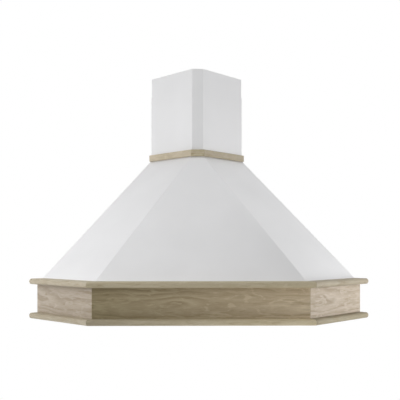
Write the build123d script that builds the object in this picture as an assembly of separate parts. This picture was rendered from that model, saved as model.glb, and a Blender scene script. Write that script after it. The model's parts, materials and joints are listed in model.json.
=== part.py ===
from build123d import *
import os
from math import acos, cos, degrees, hypot, radians, sin, sqrt

# A corner range hood: a white steel canopy and telescopic chimney over an oak skirt, in millimetres.
# The origin is on the room's corner line, level with the underside of the skirt. +Z is up and the
# wide front faces -Y. In plan, u is the distance out along the left wall and v along the right wall.

# Oak skirt
LIP_RUN = 1000.0            # lip boards, measured along each wall
LIP_OVERHANG = 39.0         # lip boards past the face of the frieze
SIDE_WIDTH = 373.0          # frieze side boards, from the wall to the mitre
LIP_T = 23.0
LIP_NOSE_R = 11.0
FRIEZE_H = 119.0
FRIEZE_T = 20.0
UPPER_LIP_LAP = 48.0        # upper lip inwards from the frieze face, under the canopy
CORNER_PLATE_T = 2.0        # angle plates inside the mitred frieze corners
CORNER_PLATE_LEG = 45.0
CORNER_PLATE_H = 50.0

# Canopy and chimney sheet
SHEET = 1.2
FOLD_R = 3.0                # chimney folds
CANOPY_SETBACK = 26.0       # canopy foot behind the frieze face
CANOPY_H = 549.0
CANOPY_FLANGE = 20.0        # folded flanges on the upper lip and on the walls
CHIMNEY_RUN = 315.0
CHIMNEY_SIDE = 279.0
CHIMNEY_LEDGE = 3.0         # canopy top past the chimney
CHIMNEY_SEAT = 25.0         # canopy top inwards under the chimney
CHIMNEY_FLANGE = 15.0
LOWER_CHIMNEY_H = 313.0
UPPER_CHIMNEY_H = 300.0
UPPER_SHOWING = 91.0        # upper sleeve above the lower one, as hung
SLIDE_GAP = 0.5
BRACKET_T = 1.5
BRACKET_H = 30.0
BRACKET_DROP = 12.0         # wall brackets below the top edge of their sleeve
BRACKET_HOLE_R = 3.0
BRACKET_HOLE_SPACING = 125.0
TRIM_T = 13.0
TRIM_H = 30.0
TRIM_EDGE_R = 2.5

# Wall rails and recessed base panel
RAIL_T = 3.0
RAIL_HOLE_R = 4.25
RAIL_HOLE_SPACING = 600.0
RAIL_HOLE_Z = 110.0
RECESS = 47.0               # base panel above the underside of the skirt
RIM_H = 25.0
PANEL_FIT = 0.5

# Grease filters, their hinges, clips and bail handles
FILTER_W = 250.0
FILTER_L = 320.0
FILTER_T = 9.0
FILTER_BAR = 14.0
FILTER_SPACING = 20.0       # between the two filters
FILTER_GAP = 1.5            # round each filter in the base panel
FILTER_DROP = 1.0           # filter face below the base panel
MESH_T = 6.0
MESH_LAP = 4.0
MESH_FIT = 0.2
MESH_ROWS = 16
MESH_COLUMNS = 12
MESH_WEB = 5.0
HINGE_PIN_R = 2.0
HINGE_PIN_L = 8.0
HINGE_T = 2.0
HINGE_TAB = 11.0
PIVOT_FIT = 0.2
CLIP_T = 1.0
CLIP_W = 30.0
CLIP_FOOT = 8.0
BAIL_W = 70.0
BAIL_DROP = 28.0
BAIL_R = 2.5
BAIL_BEND_R = 9.0
BAIL_STUB_R = 2.0
BAIL_STUB_L = 8.0
LUG_W = 8.0
LUG_R = 5.0
SIDE_GAP = 0.3              # between neighbours that turn past each other

# Plenum box
WALL_GAP = 18.0             # plenum sides from the room's walls
PLENUM_ROOM = 15.0          # plenum walls past the filters
PLENUM_FLANGE = 10.0
PLENUM_SHOULDER = 80.0      # upright part of the plenum's front
FILTER_SETBACK = 20.0       # filters in front of the plenum's rear knees

# Blower
WHEEL_R = 105.0
WHEEL_W = 190.0
BLADE_DEPTH = 17.0
BLADE_T = 1.4
BLADE_LEAN = 28.0
BLADE_COUNT = 36
WHEEL_DISC_T = 2.0
WHEEL_GAP = 11.0            # wheel to the scroll at its tightest
WHEEL_SIDE_GAP = 15.0
HUB_R = 12.0
HUB_W = 20.0
SCROLL_STEP = 16.0          # growth of the scroll in each quarter turn
SCROLL_T = 1.5
SCROLL_LIP = 5.0
SCROLL_LIP_T = 2.0
SCROLL_ROOM = 8.0
SCROLL_FLOOR_ROOM = 32.0    # base panel to the scroll
TONGUE_ANGLE = 20.0
OUTLET_RISE = 175.0
INLET_LIP = 3.0
INLET_DEPTH = 6.0

# Motor
MOTOR_R = 45.0
MOTOR_L = 80.0
MOTOR_WALL = 3.0
MOTOR_GAP = 5.0
END_BELL = 10.0
SHAFT_R = 4.0
BEARING_R = 11.0
BEARING_W = 7.0
BEARING_FIT = 0.05
ROTOR_R = 26.0
AIR_GAP = 0.6
STACK_L = 40.0
STATOR_FIT = 0.1
ARM_COUNT = 3
ARM_W = 12.0
ARM_T = 2.0
ARM_HUB_R = 20.0
ARM_FOOT = 8.0

# Duct collar and backdraught flaps
COLLAR_R = 75.0
COLLAR_T = 1.5
COLLAR_H = 60.0
COLLAR_FLANGE = 15.0
FLAP_T = 1.2
FLAP_PIN_R = 2.0
FLAP_Z = 22.0               # flap pin above the plenum
FLAP_CLEAR = 1.5
FLAP_LEDGE = 3.0
KNUCKLE_R = 3.6
KNUCKLE_W = 20.0
KNUCKLE_PITCH = 22.0

# Lamps and controls
LAMP_X = 300.0
LAMP_R = 30.0
LAMP_H = 38.0
LAMP_WALL = 2.0
LAMP_BEZEL = 5.0
LAMP_BEZEL_T = 2.0
LENS_T = 2.5
LENS_FIT = 0.3
FASCIA_W = 210.0
FASCIA_D = 44.0
FASCIA_T = 2.0
FASCIA_CORNER_R = 8.0
BUTTON_R = 7.0
BUTTON_MARGIN = 33.0        # outer buttons from the ends of the fascia
BUTTON_PROUD = 2.0
BUTTON_TRAVEL = 2.5
BUTTON_FIT = 0.3
BUTTON_SHOULDER = 2.0
BUTTON_STEM_R = 3.0
BUTTON_NAMES = ("off", "low", "medium", "high", "light")
BOX_WALL = 1.5
BOX_H = 40.0
BOX_MARGIN = 10.0
BOX_FLANGE = 8.0
BOARD_T = 1.6
SWITCH_W = 12.0
SWITCH_H = 8.0
STEM_REACH = 2.0
STANDOFF_R = 3.5

# Wiring
CAPACITOR_R = 17.5
CAPACITOR_H = 55.0
CAPACITOR_X = -70.0
GLAND_R = 9.0
GLAND_NUT_R = 12.0
GLAND_NUT_H = 6.0
GLAND_H = 20.0
GLAND_BORE_R = 4.0
GLAND_X = 170.0
LEAD_R = 3.5
LEAD_X = 60.0
LEAD_EXIT_H = 60.0          # lead above the base panel at the plenum
LEAD_ENTRY_H = 20.0         # and at the control box
LEAD_RUN = 30.0

# Screws
SCREW_R = 2.0
SCREW_HEAD_R = 4.0
SCREW_HEAD_H = 2.4
SCREW_FIT = 0.1
WOOD_SCREW_L = 14.0
SHEET_SCREW_L = 6.0

ROOT2 = sqrt(2.0)
PAST = 1.0                  # how far a cut runs past the face it opens
LOW = (Align.CENTER, Align.CENTER, Align.MIN)
UP = (0.0, 0.0, 1.0)
DOWN = (0.0, 0.0, -1.0)
ACROSS = (1.0, 0.0, 0.0)
ALONG_LEFT_WALL = (-1.0 / ROOT2, -1.0 / ROOT2, 0.0)
ALONG_RIGHT_WALL = (1.0 / ROOT2, -1.0 / ROOT2, 0.0)
FORWARD = (0.0, -1.0, 0.0)
BACK_TO_LEFT_WALL = (-1.0 / ROOT2, 1.0 / ROOT2, 0.0)
BACK_TO_RIGHT_WALL = (1.0 / ROOT2, 1.0 / ROOT2, 0.0)


def corner_point(u, v):
    """The plan point u out along the left wall and v out along the right wall."""
    return ((v - u) / ROOT2, -(u + v) / ROOT2)


def grown(outline, out):
    """A plan outline, as run along the wall and side width, moved outwards on its three open faces."""
    run, side = outline
    return run + out, side + (ROOT2 - 1.0) * out


def hood_plan(outline, corner=0.0):
    """The five plan corners of an outline that fills the room corner, set off from both walls."""
    run, side = outline
    return [(corner, corner), (run, corner), (run, side), (side, run), (corner, run)]


def wall_strip(run, back, front):
    """The plan corners of a strip along both walls, from one distance off them to another."""
    return [(back, back), (run, back), (run, front), (front, front), (front, run), (back, run)]


def plan_face(points, z):
    """A flat face at a height from plan corners in wall distances."""
    outline = Polyline(*[corner_point(u, v) for u, v in points], close=True)
    return Pos(0, 0, z) * make_face(outline)


def prism(points, z0, z1):
    """An upright prism from plan corners in wall distances."""
    return extrude(plan_face(points, z0), amount=z1 - z0, dir=UP)


def upright(points, z0, z1):
    """An upright prism from plan corners in x and y."""
    return extrude(Pos(0, 0, z0) * make_face(Polyline(*points, close=True)), amount=z1 - z0, dir=UP)


def frustum(points0, z0, points1, z1):
    """A solid with flat sides between two plan outlines."""
    return loft([plan_face(points0, z0), plan_face(points1, z1)], ruled=True)


def peg(point, direction, radius, length):
    """A round peg that starts at a point."""
    return Plane(origin=point, z_dir=direction) * Cylinder(radius, length, align=LOW)


def block(x0, x1, y0, y1, z0, z1):
    """A box between two corners."""
    return Pos((x0 + x1) / 2, (y0 + y1) / 2, (z0 + z1) / 2) * Box(x1 - x0, y1 - y0, z1 - z0)


def stepped(point, direction, distance):
    """A point moved along a direction."""
    return tuple(p + d * distance for p, d in zip(point, direction))


def flipped(shape):
    """The same piece on the other side of the hood."""
    return mirror(shape, about=Plane.YZ)


def group(pieces):
    """Separate solids kept as one node."""
    return Compound([solid for piece in pieces for solid in piece.solids()])


def rounded_at(solid, places, radius):
    """A solid with the edges whose middles are at the places rounded."""
    edges = [e for e in solid.edges() if any((e.center() - Vector(*p)).length < 0.01 for p in places)]
    return fillet(edges, radius)


# Plan outlines
FRIEZE = (LIP_RUN - LIP_OVERHANG, SIDE_WIDTH)
LIP = grown(FRIEZE, LIP_OVERHANG)
FRIEZE_BACK = grown(FRIEZE, -FRIEZE_T)
UPPER_LIP_BACK = grown(FRIEZE, -UPPER_LIP_LAP)
CANOPY_FOOT = grown(FRIEZE, -CANOPY_SETBACK)
CHIMNEY = (CHIMNEY_RUN, CHIMNEY_SIDE)
UPPER_CHIMNEY = grown(CHIMNEY, -SHEET - SLIDE_GAP)
CANOPY_TOP = grown(CHIMNEY, CHIMNEY_LEDGE)
PANEL = grown(FRIEZE_BACK, -PANEL_FIT)
PANEL_INSIDE = grown(PANEL, -SHEET)
UPPER_SETBACK = BRACKET_T + SHEET + SLIDE_GAP
BRACKET_RUN = CHIMNEY_RUN - CHIMNEY_FLANGE / 2

# Heights
UPPER_LIP_Z = LIP_T + FRIEZE_H
CANOPY_Z = UPPER_LIP_Z + LIP_T
CHIMNEY_Z = CANOPY_Z + CANOPY_H
LOWER_TOP = CHIMNEY_Z + LOWER_CHIMNEY_H
UPPER_TOP = LOWER_TOP + UPPER_SHOWING
PANEL_TOP = RECESS + SHEET
CORNER_PLATE_Z = RECESS + RIM_H + (UPPER_LIP_Z - RECESS - RIM_H - CORNER_PLATE_H) / 2

# Blower: the scroll is four quarter arcs about a small square, opening to an upright outlet
SCROLL_R = WHEEL_R + WHEEL_GAP
SCROLL_HALF = SCROLL_STEP / 2
SCROLL_W = WHEEL_W + 2 * WHEEL_SIDE_GAP
SCROLL_BACK = SCROLL_HALF + SCROLL_R + 3 * SCROLL_STEP
SCROLL_FRONT = SCROLL_HALF + SCROLL_R + SCROLL_STEP
SCROLL_BOTTOM = SCROLL_HALF + SCROLL_R + 2 * SCROLL_STEP
TONGUE_Y = SCROLL_R * sin(radians(TONGUE_ANGLE)) - SCROLL_HALF
INLET_R = WHEEL_R - BLADE_DEPTH - INLET_LIP
DUCT_Y = -CHIMNEY_RUN / ROOT2
AXIS_Y = DUCT_Y - (TONGUE_Y + SCROLL_BACK) / 2
AXIS_Z = PANEL_TOP + SCROLL_FLOOR_ROOM + SCROLL_BOTTOM + SCROLL_T + SCROLL_LIP
MOTOR_X = HUB_W / 2 + MOTOR_GAP
MOTOR_END = MOTOR_X + MOTOR_L

# Plenum and filters
PLENUM_TOP = AXIS_Z + OUTLET_RISE + SHEET
PLENUM_HALF = FILTER_SPACING / 2 + FILTER_W + PLENUM_ROOM
PLENUM_KNEE = -PLENUM_HALF - WALL_GAP * ROOT2
PLENUM_REAR = AXIS_Y + SCROLL_BACK + SCROLL_T + SCROLL_LIP + SCROLL_ROOM
PLENUM_TOP_FRONT = AXIS_Y - SCROLL_FRONT - SCROLL_T - SCROLL_LIP - 2 * SCROLL_ROOM
FILTER_REAR = PLENUM_KNEE - FILTER_SETBACK
FILTER_FRONT = FILTER_REAR - FILTER_L
FILTER_Z = RECESS - FILTER_DROP
FILTER_X = (FILTER_SPACING + FILTER_W) / 2
HINGE_Y = FILTER_REAR - FILTER_T / 2
HINGE_Z = FILTER_Z + FILTER_T / 2
BAIL_Y = FILTER_FRONT + FILTER_BAR / 2
BAIL_Z = FILTER_Z - LUG_R
PLENUM_FRONT = FILTER_FRONT - PLENUM_ROOM
CONTROL_Y = (PLENUM_FRONT - (PANEL[0] + PANEL[1]) / ROOT2) / 2
BUTTON_PITCH = (FASCIA_W - 2 * BUTTON_MARGIN) / (len(BUTTON_NAMES) - 1)
BUTTON_XS = [(i - (len(BUTTON_NAMES) - 1) / 2) * BUTTON_PITCH for i in range(len(BUTTON_NAMES))]
BOX_W = FASCIA_W + 2 * BOX_MARGIN
BOX_D = FASCIA_D + 2 * BOX_MARGIN
FASCIA_Z = RECESS - FASCIA_T
SHOULDER_R = BUTTON_R + BUTTON_SHOULDER
SWITCH_Z = RECESS + BUTTON_SHOULDER + BUTTON_TRAVEL + STEM_REACH
BOARD_Z = SWITCH_Z + SWITCH_H


def wood_screw_seats():
    """Where wood screws sit: each head's seat and the way that its shank runs."""
    run, side = PANEL_INSIDE
    rim_z = RECESS + 0.6 * RIM_H
    front_y = -(run + side) / ROOT2
    front_half = (run - side) / ROOT2
    seats = []
    for share in (0.3, 0.75):
        seats.append(((*corner_point(run, share * side), rim_z), ALONG_LEFT_WALL))
        seats.append(((*corner_point(share * side, run), rim_z), ALONG_RIGHT_WALL))
    for share in (-0.7, 0.0, 0.7):
        seats.append(((share * front_half, front_y, rim_z), FORWARD))
    foot_run, foot_side = grown(CANOPY_FOOT, -0.6 * CANOPY_FLANGE)
    foot_z = CANOPY_Z + SHEET
    for share in (0.3, 0.75):
        seats.append(((*corner_point(foot_run, share * foot_side), foot_z), DOWN))
        seats.append(((*corner_point(share * foot_side, foot_run), foot_z), DOWN))
    for share in (-0.7, 0.0, 0.7):
        seats.append(((share * (foot_run - foot_side) / ROOT2, -(foot_run + foot_side) / ROOT2, foot_z), DOWN))
    plate_run, plate_side = grown(FRIEZE_BACK, -CORNER_PLATE_T)
    plate_z = CORNER_PLATE_Z + CORNER_PLATE_H / 2
    plate_reach = 0.6 * CORNER_PLATE_LEG
    seats.append(((*corner_point(plate_run, plate_side - plate_reach), plate_z), ALONG_LEFT_WALL))
    seats.append(((*corner_point(plate_side - plate_reach, plate_run), plate_z), ALONG_RIGHT_WALL))
    for sign in (-1, 1):
        x = sign * ((plate_run - plate_side) / ROOT2 - plate_reach)
        seats.append(((x, -(plate_run + plate_side) / ROOT2, plate_z), FORWARD))
    return seats


def collar_screw_seats():
    """Four screws through the duct collar's flange."""
    ring = COLLAR_R + COLLAR_FLANGE / 2
    seats = []
    for angle in (45, 135, 225, 315):
        x = ring * cos(radians(angle))
        y = DUCT_Y + ring * sin(radians(angle))
        seats.append(((x, y, PLENUM_TOP + SHEET), DOWN))
    return seats


def plenum_screw_seats():
    """Screws up through the base panel into the plenum's foot flange."""
    middle = PLENUM_FLANGE / 2
    side_y = (FILTER_REAR + FILTER_FRONT) / 2
    places = [(0.0, PLENUM_FRONT - middle)]
    for sign in (-1, 1):
        places.append((sign * 0.7 * PLENUM_HALF, PLENUM_FRONT - middle))
        places.append((sign * (PLENUM_HALF + middle), side_y))
    return [((x, y, RECESS), UP) for x, y in places]


def rail_screw_seats():
    """Screws from the base panel's rim into the wall rails."""
    off = RAIL_T + SHEET
    z = RECESS + 0.6 * RIM_H
    seats = []
    for share in (0.4, 0.85):
        seats.append(((*corner_point(share * PANEL[0], off), z), BACK_TO_LEFT_WALL))
        seats.append(((*corner_point(off, share * PANEL[0]), z), BACK_TO_RIGHT_WALL))
    return seats


def screw(seat, length):
    """A pan-head screw."""
    point, way = seat
    back = tuple(-d for d in way)
    return peg(point, way, SCREW_R, length) + peg(point, back, SCREW_HEAD_R, SCREW_HEAD_H)


def screw_hole(seat, length):
    """The hole that a screw's shank needs."""
    point, way = seat
    return peg(stepped(point, way, -PAST), way, SCREW_R + SCREW_FIT, length + 2 * PAST)


def drilled(shape, seats, length):
    """A piece with the holes for the screws that pass through it."""
    for seat in seats:
        shape = shape - screw_hole(seat, length)
    return shape


RAIL_SCREW_L = RAIL_T + SHEET - SCREW_FIT
WOOD_SEATS = wood_screw_seats()
COLLAR_SEATS = collar_screw_seats()
PLENUM_SEATS = plenum_screw_seats()
RAIL_SEATS = rail_screw_seats()


def nosed_board(points, z0, z1, nose):
    """A board between four plan corners, with the edges between the second and third corners rounded."""
    board = prism(points, z0, z1)
    if not nose:
        return board
    middle = corner_point((points[1][0] + points[2][0]) / 2, (points[1][1] + points[2][1]) / 2)
    return rounded_at(board, [(*middle, z0), (*middle, z1)], min(nose, 0.48 * (z1 - z0)))


def mitred_boards(outer, inner, z0, z1, nose=0.0):
    """Left, front and right boards between two outlines, mitred where they meet."""
    run, side = outer
    run_in, side_in = inner
    left = nosed_board([(run_in, 0.0), (run, 0.0), (run, side), (run_in, side_in)], z0, z1, nose)
    front = nosed_board([(run_in, side_in), (run, side), (side, run), (side_in, run_in)], z0, z1, nose)
    return {"left": left, "front": front, "right": flipped(left)}


def oak_boards():
    """The skirt's lips and frieze, and the band round the chimney's foot."""
    courses = {
        "lower_lip": mitred_boards(LIP, FRIEZE_BACK, 0.0, LIP_T, LIP_NOSE_R),
        "frieze": mitred_boards(FRIEZE, FRIEZE_BACK, LIP_T, UPPER_LIP_Z),
        "upper_lip": mitred_boards(LIP, UPPER_LIP_BACK, UPPER_LIP_Z, CANOPY_Z, LIP_NOSE_R),
        "chimney_trim": mitred_boards(grown(CHIMNEY, TRIM_T), CHIMNEY, CHIMNEY_Z,
                                      CHIMNEY_Z + TRIM_H, TRIM_EDGE_R),
    }
    boards = {f"{course}_{place}": board for course, trio in courses.items() for place, board in trio.items()}
    for name in boards:
        if name.startswith(("frieze", "upper_lip")):
            boards[name] = drilled(boards[name], WOOD_SEATS, WOOD_SCREW_L)
    return boards


def frieze_brackets():
    """Bent plates inside the two front corners of the frieze."""
    run, side = FRIEZE_BACK
    run_in, side_in = grown(FRIEZE_BACK, -CORNER_PLATE_T)
    reach = CORNER_PLATE_LEG / ROOT2
    outside = [(run, side - CORNER_PLATE_LEG), (run, side), (run - reach, side + reach)]
    inside = [(run_in - reach, side_in + reach), (run_in, side_in), (run_in, side - CORNER_PLATE_LEG)]
    left = prism(outside + inside, CORNER_PLATE_Z, CORNER_PLATE_Z + CORNER_PLATE_H)
    left = drilled(left, WOOD_SEATS, WOOD_SCREW_L)
    return group([left, flipped(left)])


def canopy_outline(z, thick=0.0):
    """The canopy's plan outline at a height, moved in by a thickness square to each panel."""
    share = (z - CANOPY_Z) / CANOPY_H
    run = CANOPY_FOOT[0] + share * (CANOPY_TOP[0] - CANOPY_FOOT[0])
    side = CANOPY_FOOT[1] + share * (CANOPY_TOP[1] - CANOPY_FOOT[1])
    side_lean = CANOPY_FOOT[0] - CANOPY_TOP[0]
    front_lean = (sum(CANOPY_FOOT) - sum(CANOPY_TOP)) / ROOT2
    side_in = thick * hypot(side_lean, CANOPY_H) / CANOPY_H
    front_in = thick * hypot(front_lean, CANOPY_H) / CANOPY_H
    return run - side_in, side + side_in - ROOT2 * front_in


def canopy_shell():
    """Three sloping panels with flanges on the skirt, on the walls and under the chimney."""
    shell = frustum(hood_plan(CANOPY_FOOT), CANOPY_Z, hood_plan(CANOPY_TOP), CHIMNEY_Z)
    z0 = CANOPY_Z + SHEET
    z1 = CHIMNEY_Z - SHEET
    shell -= frustum(hood_plan(canopy_outline(z0, SHEET), SHEET), z0,
                     hood_plan(canopy_outline(z1, SHEET), SHEET), z1)
    shell -= prism(hood_plan(grown(CANOPY_FOOT, -CANOPY_FLANGE), -PAST), CANOPY_Z - PAST, z0 + PAST)
    shell -= prism(hood_plan(grown(CHIMNEY, -CHIMNEY_SEAT), -PAST), z1 - PAST, CHIMNEY_Z + PAST)
    open_foot = canopy_outline(CANOPY_Z)[0] - CANOPY_FLANGE
    open_top = canopy_outline(CHIMNEY_Z)[0] - CANOPY_FLANGE
    shell -= frustum(wall_strip(open_foot, -PAST, SHEET + PAST), CANOPY_Z,
                     wall_strip(open_top, -PAST, SHEET + PAST), CHIMNEY_Z)
    return drilled(shell, WOOD_SEATS, WOOD_SCREW_L)


def chimney_sleeve(outline, setback, z0, z1):
    """Three upright panels with a narrow front, folded in along both walls and open between."""
    fold = corner_point(*outline)
    middle = (z0 + z1) / 2
    sleeve = prism(hood_plan(outline, setback), z0, z1)
    sleeve = rounded_at(sleeve, [(*fold, middle), (-fold[0], fold[1], middle)], FOLD_R)
    sleeve -= prism(hood_plan(grown(outline, -SHEET), setback + SHEET), z0 - PAST, z1 + PAST)
    opening = wall_strip(outline[0] - CHIMNEY_FLANGE, setback - PAST, setback + SHEET + PAST)
    return sleeve - prism(opening, z0 - PAST, z1 + PAST)


def bracket_height(top):
    """The height of a wall bracket's middle, from the top edge of its sleeve."""
    return top - BRACKET_DROP - BRACKET_H / 2


def wall_bracket(thick, top):
    """A strip bent round the room corner behind a chimney sleeve, with four wall screw holes."""
    z = bracket_height(top)
    strip = prism(wall_strip(BRACKET_RUN, 0.0, thick), z - BRACKET_H / 2, z + BRACKET_H / 2)
    for sign in (-1, 1):
        u = BRACKET_RUN / 2 + sign * BRACKET_HOLE_SPACING / 2
        strip -= peg((*corner_point(u, thick + PAST), z), BACK_TO_LEFT_WALL, BRACKET_HOLE_R, thick + 2 * PAST)
        strip -= peg((*corner_point(thick + PAST, u), z), BACK_TO_RIGHT_WALL, BRACKET_HOLE_R, thick + 2 * PAST)
    return strip


def left_wall_rail():
    """A steel rail on the left wall with two holes for the wall screws."""
    run = PANEL[0]
    rail = prism([(0.0, 0.0), (run, 0.0), (run, RAIL_T), (RAIL_T, RAIL_T)], 0.0, UPPER_LIP_Z)
    for sign in (-1, 1):
        u = run / 2 + sign * RAIL_HOLE_SPACING / 2
        rail -= peg((*corner_point(u, RAIL_T + PAST), RAIL_HOLE_Z), BACK_TO_LEFT_WALL,
                    RAIL_HOLE_R, RAIL_T + 2 * PAST)
    return drilled(rail, RAIL_SEATS, RAIL_SCREW_L)


def base_panel():
    """A tray inside the skirt with openings for the filters, lamps and buttons."""
    panel = prism(hood_plan(PANEL, RAIL_T), RECESS, RECESS + RIM_H)
    panel -= prism(hood_plan(PANEL_INSIDE, RAIL_T + SHEET), PANEL_TOP, RECESS + RIM_H + PAST)
    low = RECESS - PAST
    high = PANEL_TOP + PAST
    for sign in (-1, 1):
        half = FILTER_W / 2 + FILTER_GAP
        panel -= block(sign * FILTER_X - half, sign * FILTER_X + half,
                       FILTER_FRONT - FILTER_GAP, FILTER_REAR + FILTER_GAP, low, high)
        panel -= peg((sign * LAMP_X, CONTROL_Y, low), UP, LAMP_R + LENS_FIT, high - low)
    slot = SHOULDER_R + BUTTON_FIT
    panel -= block(BUTTON_XS[0] - slot, BUTTON_XS[-1] + slot, CONTROL_Y - slot, CONTROL_Y + slot, low, high)
    panel = drilled(panel, PLENUM_SEATS, SHEET_SCREW_L)
    panel = drilled(panel, RAIL_SEATS, RAIL_SCREW_L)
    return drilled(panel, WOOD_SEATS[:7], WOOD_SCREW_L)


def filter_frame(sign):
    """A channel frame with a round hinge edge, two hinge pins and two lugs for the bail."""
    x = sign * FILTER_X
    half = FILTER_W / 2
    frame = block(x - half, x + half, FILTER_FRONT, HINGE_Y, FILTER_Z, FILTER_Z + FILTER_T)
    frame += peg((x - half, HINGE_Y, HINGE_Z), ACROSS, FILTER_T / 2, FILTER_W)
    window = half - FILTER_BAR
    frame -= block(x - window, x + window, FILTER_FRONT + FILTER_BAR, FILTER_REAR - FILTER_BAR,
                   FILTER_Z - PAST, FILTER_Z + FILTER_T + PAST)
    slot = window + MESH_LAP + MESH_FIT
    slot_y = FILTER_BAR - MESH_LAP - MESH_FIT
    frame -= block(x - slot, x + slot, FILTER_FRONT + slot_y, FILTER_REAR - slot_y,
                   HINGE_Z - MESH_T / 2 - MESH_FIT, HINGE_Z + MESH_T / 2 + MESH_FIT)
    frame += peg((x - half - HINGE_PIN_L, HINGE_Y, HINGE_Z), ACROSS, HINGE_PIN_R, HINGE_PIN_L + FILTER_T / 2)
    frame += peg((x + half - FILTER_T / 2, HINGE_Y, HINGE_Z), ACROSS, HINGE_PIN_R, HINGE_PIN_L + FILTER_T / 2)
    for side in (-1, 1):
        start = BAIL_W / 2 + BAIL_R + SIDE_GAP
        lug_x = x + side * (start + LUG_W / 2)
        lug = block(lug_x - LUG_W / 2, lug_x + LUG_W / 2, BAIL_Y - LUG_R, BAIL_Y + LUG_R, BAIL_Z, FILTER_Z)
        lug += peg((lug_x - LUG_W / 2, BAIL_Y, BAIL_Z), ACROSS, LUG_R, LUG_W)
        lug -= peg((lug_x - LUG_W / 2 - PAST, BAIL_Y, BAIL_Z), ACROSS,
                   BAIL_STUB_R + PIVOT_FIT, LUG_W + 2 * PAST)
        frame += lug
    return frame


def filter_mesh(sign):
    """A holed grease mesh panel held in the frame's groove."""
    width = FILTER_W - 2 * (FILTER_BAR - MESH_LAP)
    length = FILTER_L - 2 * (FILTER_BAR - MESH_LAP)
    pitch_x = (FILTER_W - 2 * FILTER_BAR) / MESH_COLUMNS
    pitch_y = (FILTER_L - 2 * FILTER_BAR) / MESH_ROWS
    holes = GridLocations(pitch_x, pitch_y, MESH_COLUMNS, MESH_ROWS)
    net = Rectangle(width, length) - [hole * Rectangle(pitch_x - MESH_WEB, pitch_y - MESH_WEB) for hole in holes]
    panel = extrude(net, amount=MESH_T / 2, both=True)
    return Pos(sign * FILTER_X, (FILTER_FRONT + FILTER_REAR) / 2, HINGE_Z) * panel


def filter_handle(sign):
    """A wire bail that hangs from the frame's two lugs."""
    x = sign * FILTER_X
    half = BAIL_W / 2
    route = FilletPolyline((x - half, BAIL_Y, BAIL_Z), (x - half, BAIL_Y, BAIL_Z - BAIL_DROP),
                           (x + half, BAIL_Y, BAIL_Z - BAIL_DROP), (x + half, BAIL_Y, BAIL_Z),
                           radius=BAIL_BEND_R)
    bail = sweep(Plane(origin=route @ 0, z_dir=route % 0) * Circle(BAIL_R), path=route)
    for side in (-1, 1):
        reach = BAIL_R + BAIL_STUB_L
        bail += peg((x + side * half, BAIL_Y, BAIL_Z), (side, 0, 0), BAIL_STUB_R, reach)
        bail += Pos(x + side * half, BAIL_Y, BAIL_Z) * Sphere(BAIL_R)
    return bail


def hinge_tab(x):
    """An upright tab with the hole for a filter's hinge pin."""
    tab = block(x - HINGE_T / 2, x + HINGE_T / 2, HINGE_Y - HINGE_TAB / 2, HINGE_Y + HINGE_TAB / 2,
                PANEL_TOP, HINGE_Z + HINGE_TAB / 2)
    return tab - peg((x - HINGE_T, HINGE_Y, HINGE_Z), ACROSS, HINGE_PIN_R + PIVOT_FIT, 2 * HINGE_T)


def filter_hinge_brackets():
    """A U bracket between the filters and an L bracket at each outer side."""
    inner = (FILTER_SPACING - HINGE_PIN_L) / 2
    outer = FILTER_SPACING / 2 + FILTER_W + HINGE_PIN_L / 2
    y0 = HINGE_Y + HINGE_PIN_R + PIVOT_FIT + PAST
    y1 = HINGE_Y + HINGE_TAB / 2 + HINGE_TAB
    middle = hinge_tab(inner) + hinge_tab(-inner)
    middle += block(-inner - HINGE_T / 2, inner + HINGE_T / 2, y0, y1, PANEL_TOP, PANEL_TOP + HINGE_T / 2)
    right = hinge_tab(outer)
    right += block(outer - HINGE_T / 2, outer + HINGE_PIN_L, y0, y1, PANEL_TOP, PANEL_TOP + HINGE_T / 2)
    return group([middle, right, flipped(right)])


def filter_spring_clips():
    """A leaf spring in front of each filter."""
    clips = []
    y = FILTER_FRONT - SIDE_GAP
    foot_y = FILTER_FRONT - FILTER_GAP
    for sign in (-1, 1):
        x0 = sign * FILTER_X - CLIP_W / 2
        x1 = sign * FILTER_X + CLIP_W / 2
        foot = block(x0, x1, foot_y - CLIP_FOOT, foot_y, PANEL_TOP, PANEL_TOP + CLIP_T)
        leaf = block(x0, x1, foot_y - CLIP_T, foot_y, PANEL_TOP, FILTER_Z + FILTER_T)
        nose = block(x0, x1, foot_y - CLIP_T, y, FILTER_Z + FILTER_T - CLIP_T, FILTER_Z + FILTER_T)
        clips.append(foot + leaf + nose)
    return group(clips)


def plenum_plan(out):
    """The plenum's six plan corners, moved outwards; its rear sides run beside the room's walls."""
    half = PLENUM_HALF + out
    front = PLENUM_FRONT - out
    rear = PLENUM_REAR + out
    slant = (WALL_GAP - out) * ROOT2
    rear_half = -rear - slant
    return [(-half, front), (half, front), (half, -half - slant), (rear_half, rear),
            (-rear_half, rear), (-half, -half - slant)]


def plenum_profile(thick, low):
    """The plenum seen from its side: an upright foot, then a sloping front."""
    knee = PANEL_TOP + PLENUM_SHOULDER
    rise = PLENUM_TOP - knee
    run = PLENUM_TOP_FRONT - PLENUM_FRONT
    slant = thick * hypot(run, rise) / rise
    front = PLENUM_FRONT + thick
    rear = PLENUM_REAR - thick
    return [(front, low), (front, knee - (slant - thick) * rise / run),
            (PLENUM_TOP_FRONT + slant - thick * run / rise, PLENUM_TOP - thick),
            (rear, PLENUM_TOP - thick), (rear, low)]


def plenum_body(thick, low):
    """The plenum's block, moved in by a thickness."""
    width = 2 * PLENUM_HALF
    side = make_face(Polyline(*plenum_profile(thick, low), close=True))
    side = extrude(Plane.YZ.offset(-width / 2) * side, amount=width, dir=ACROSS)
    return side & upright(plenum_plan(-thick), low, PLENUM_TOP)


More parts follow.
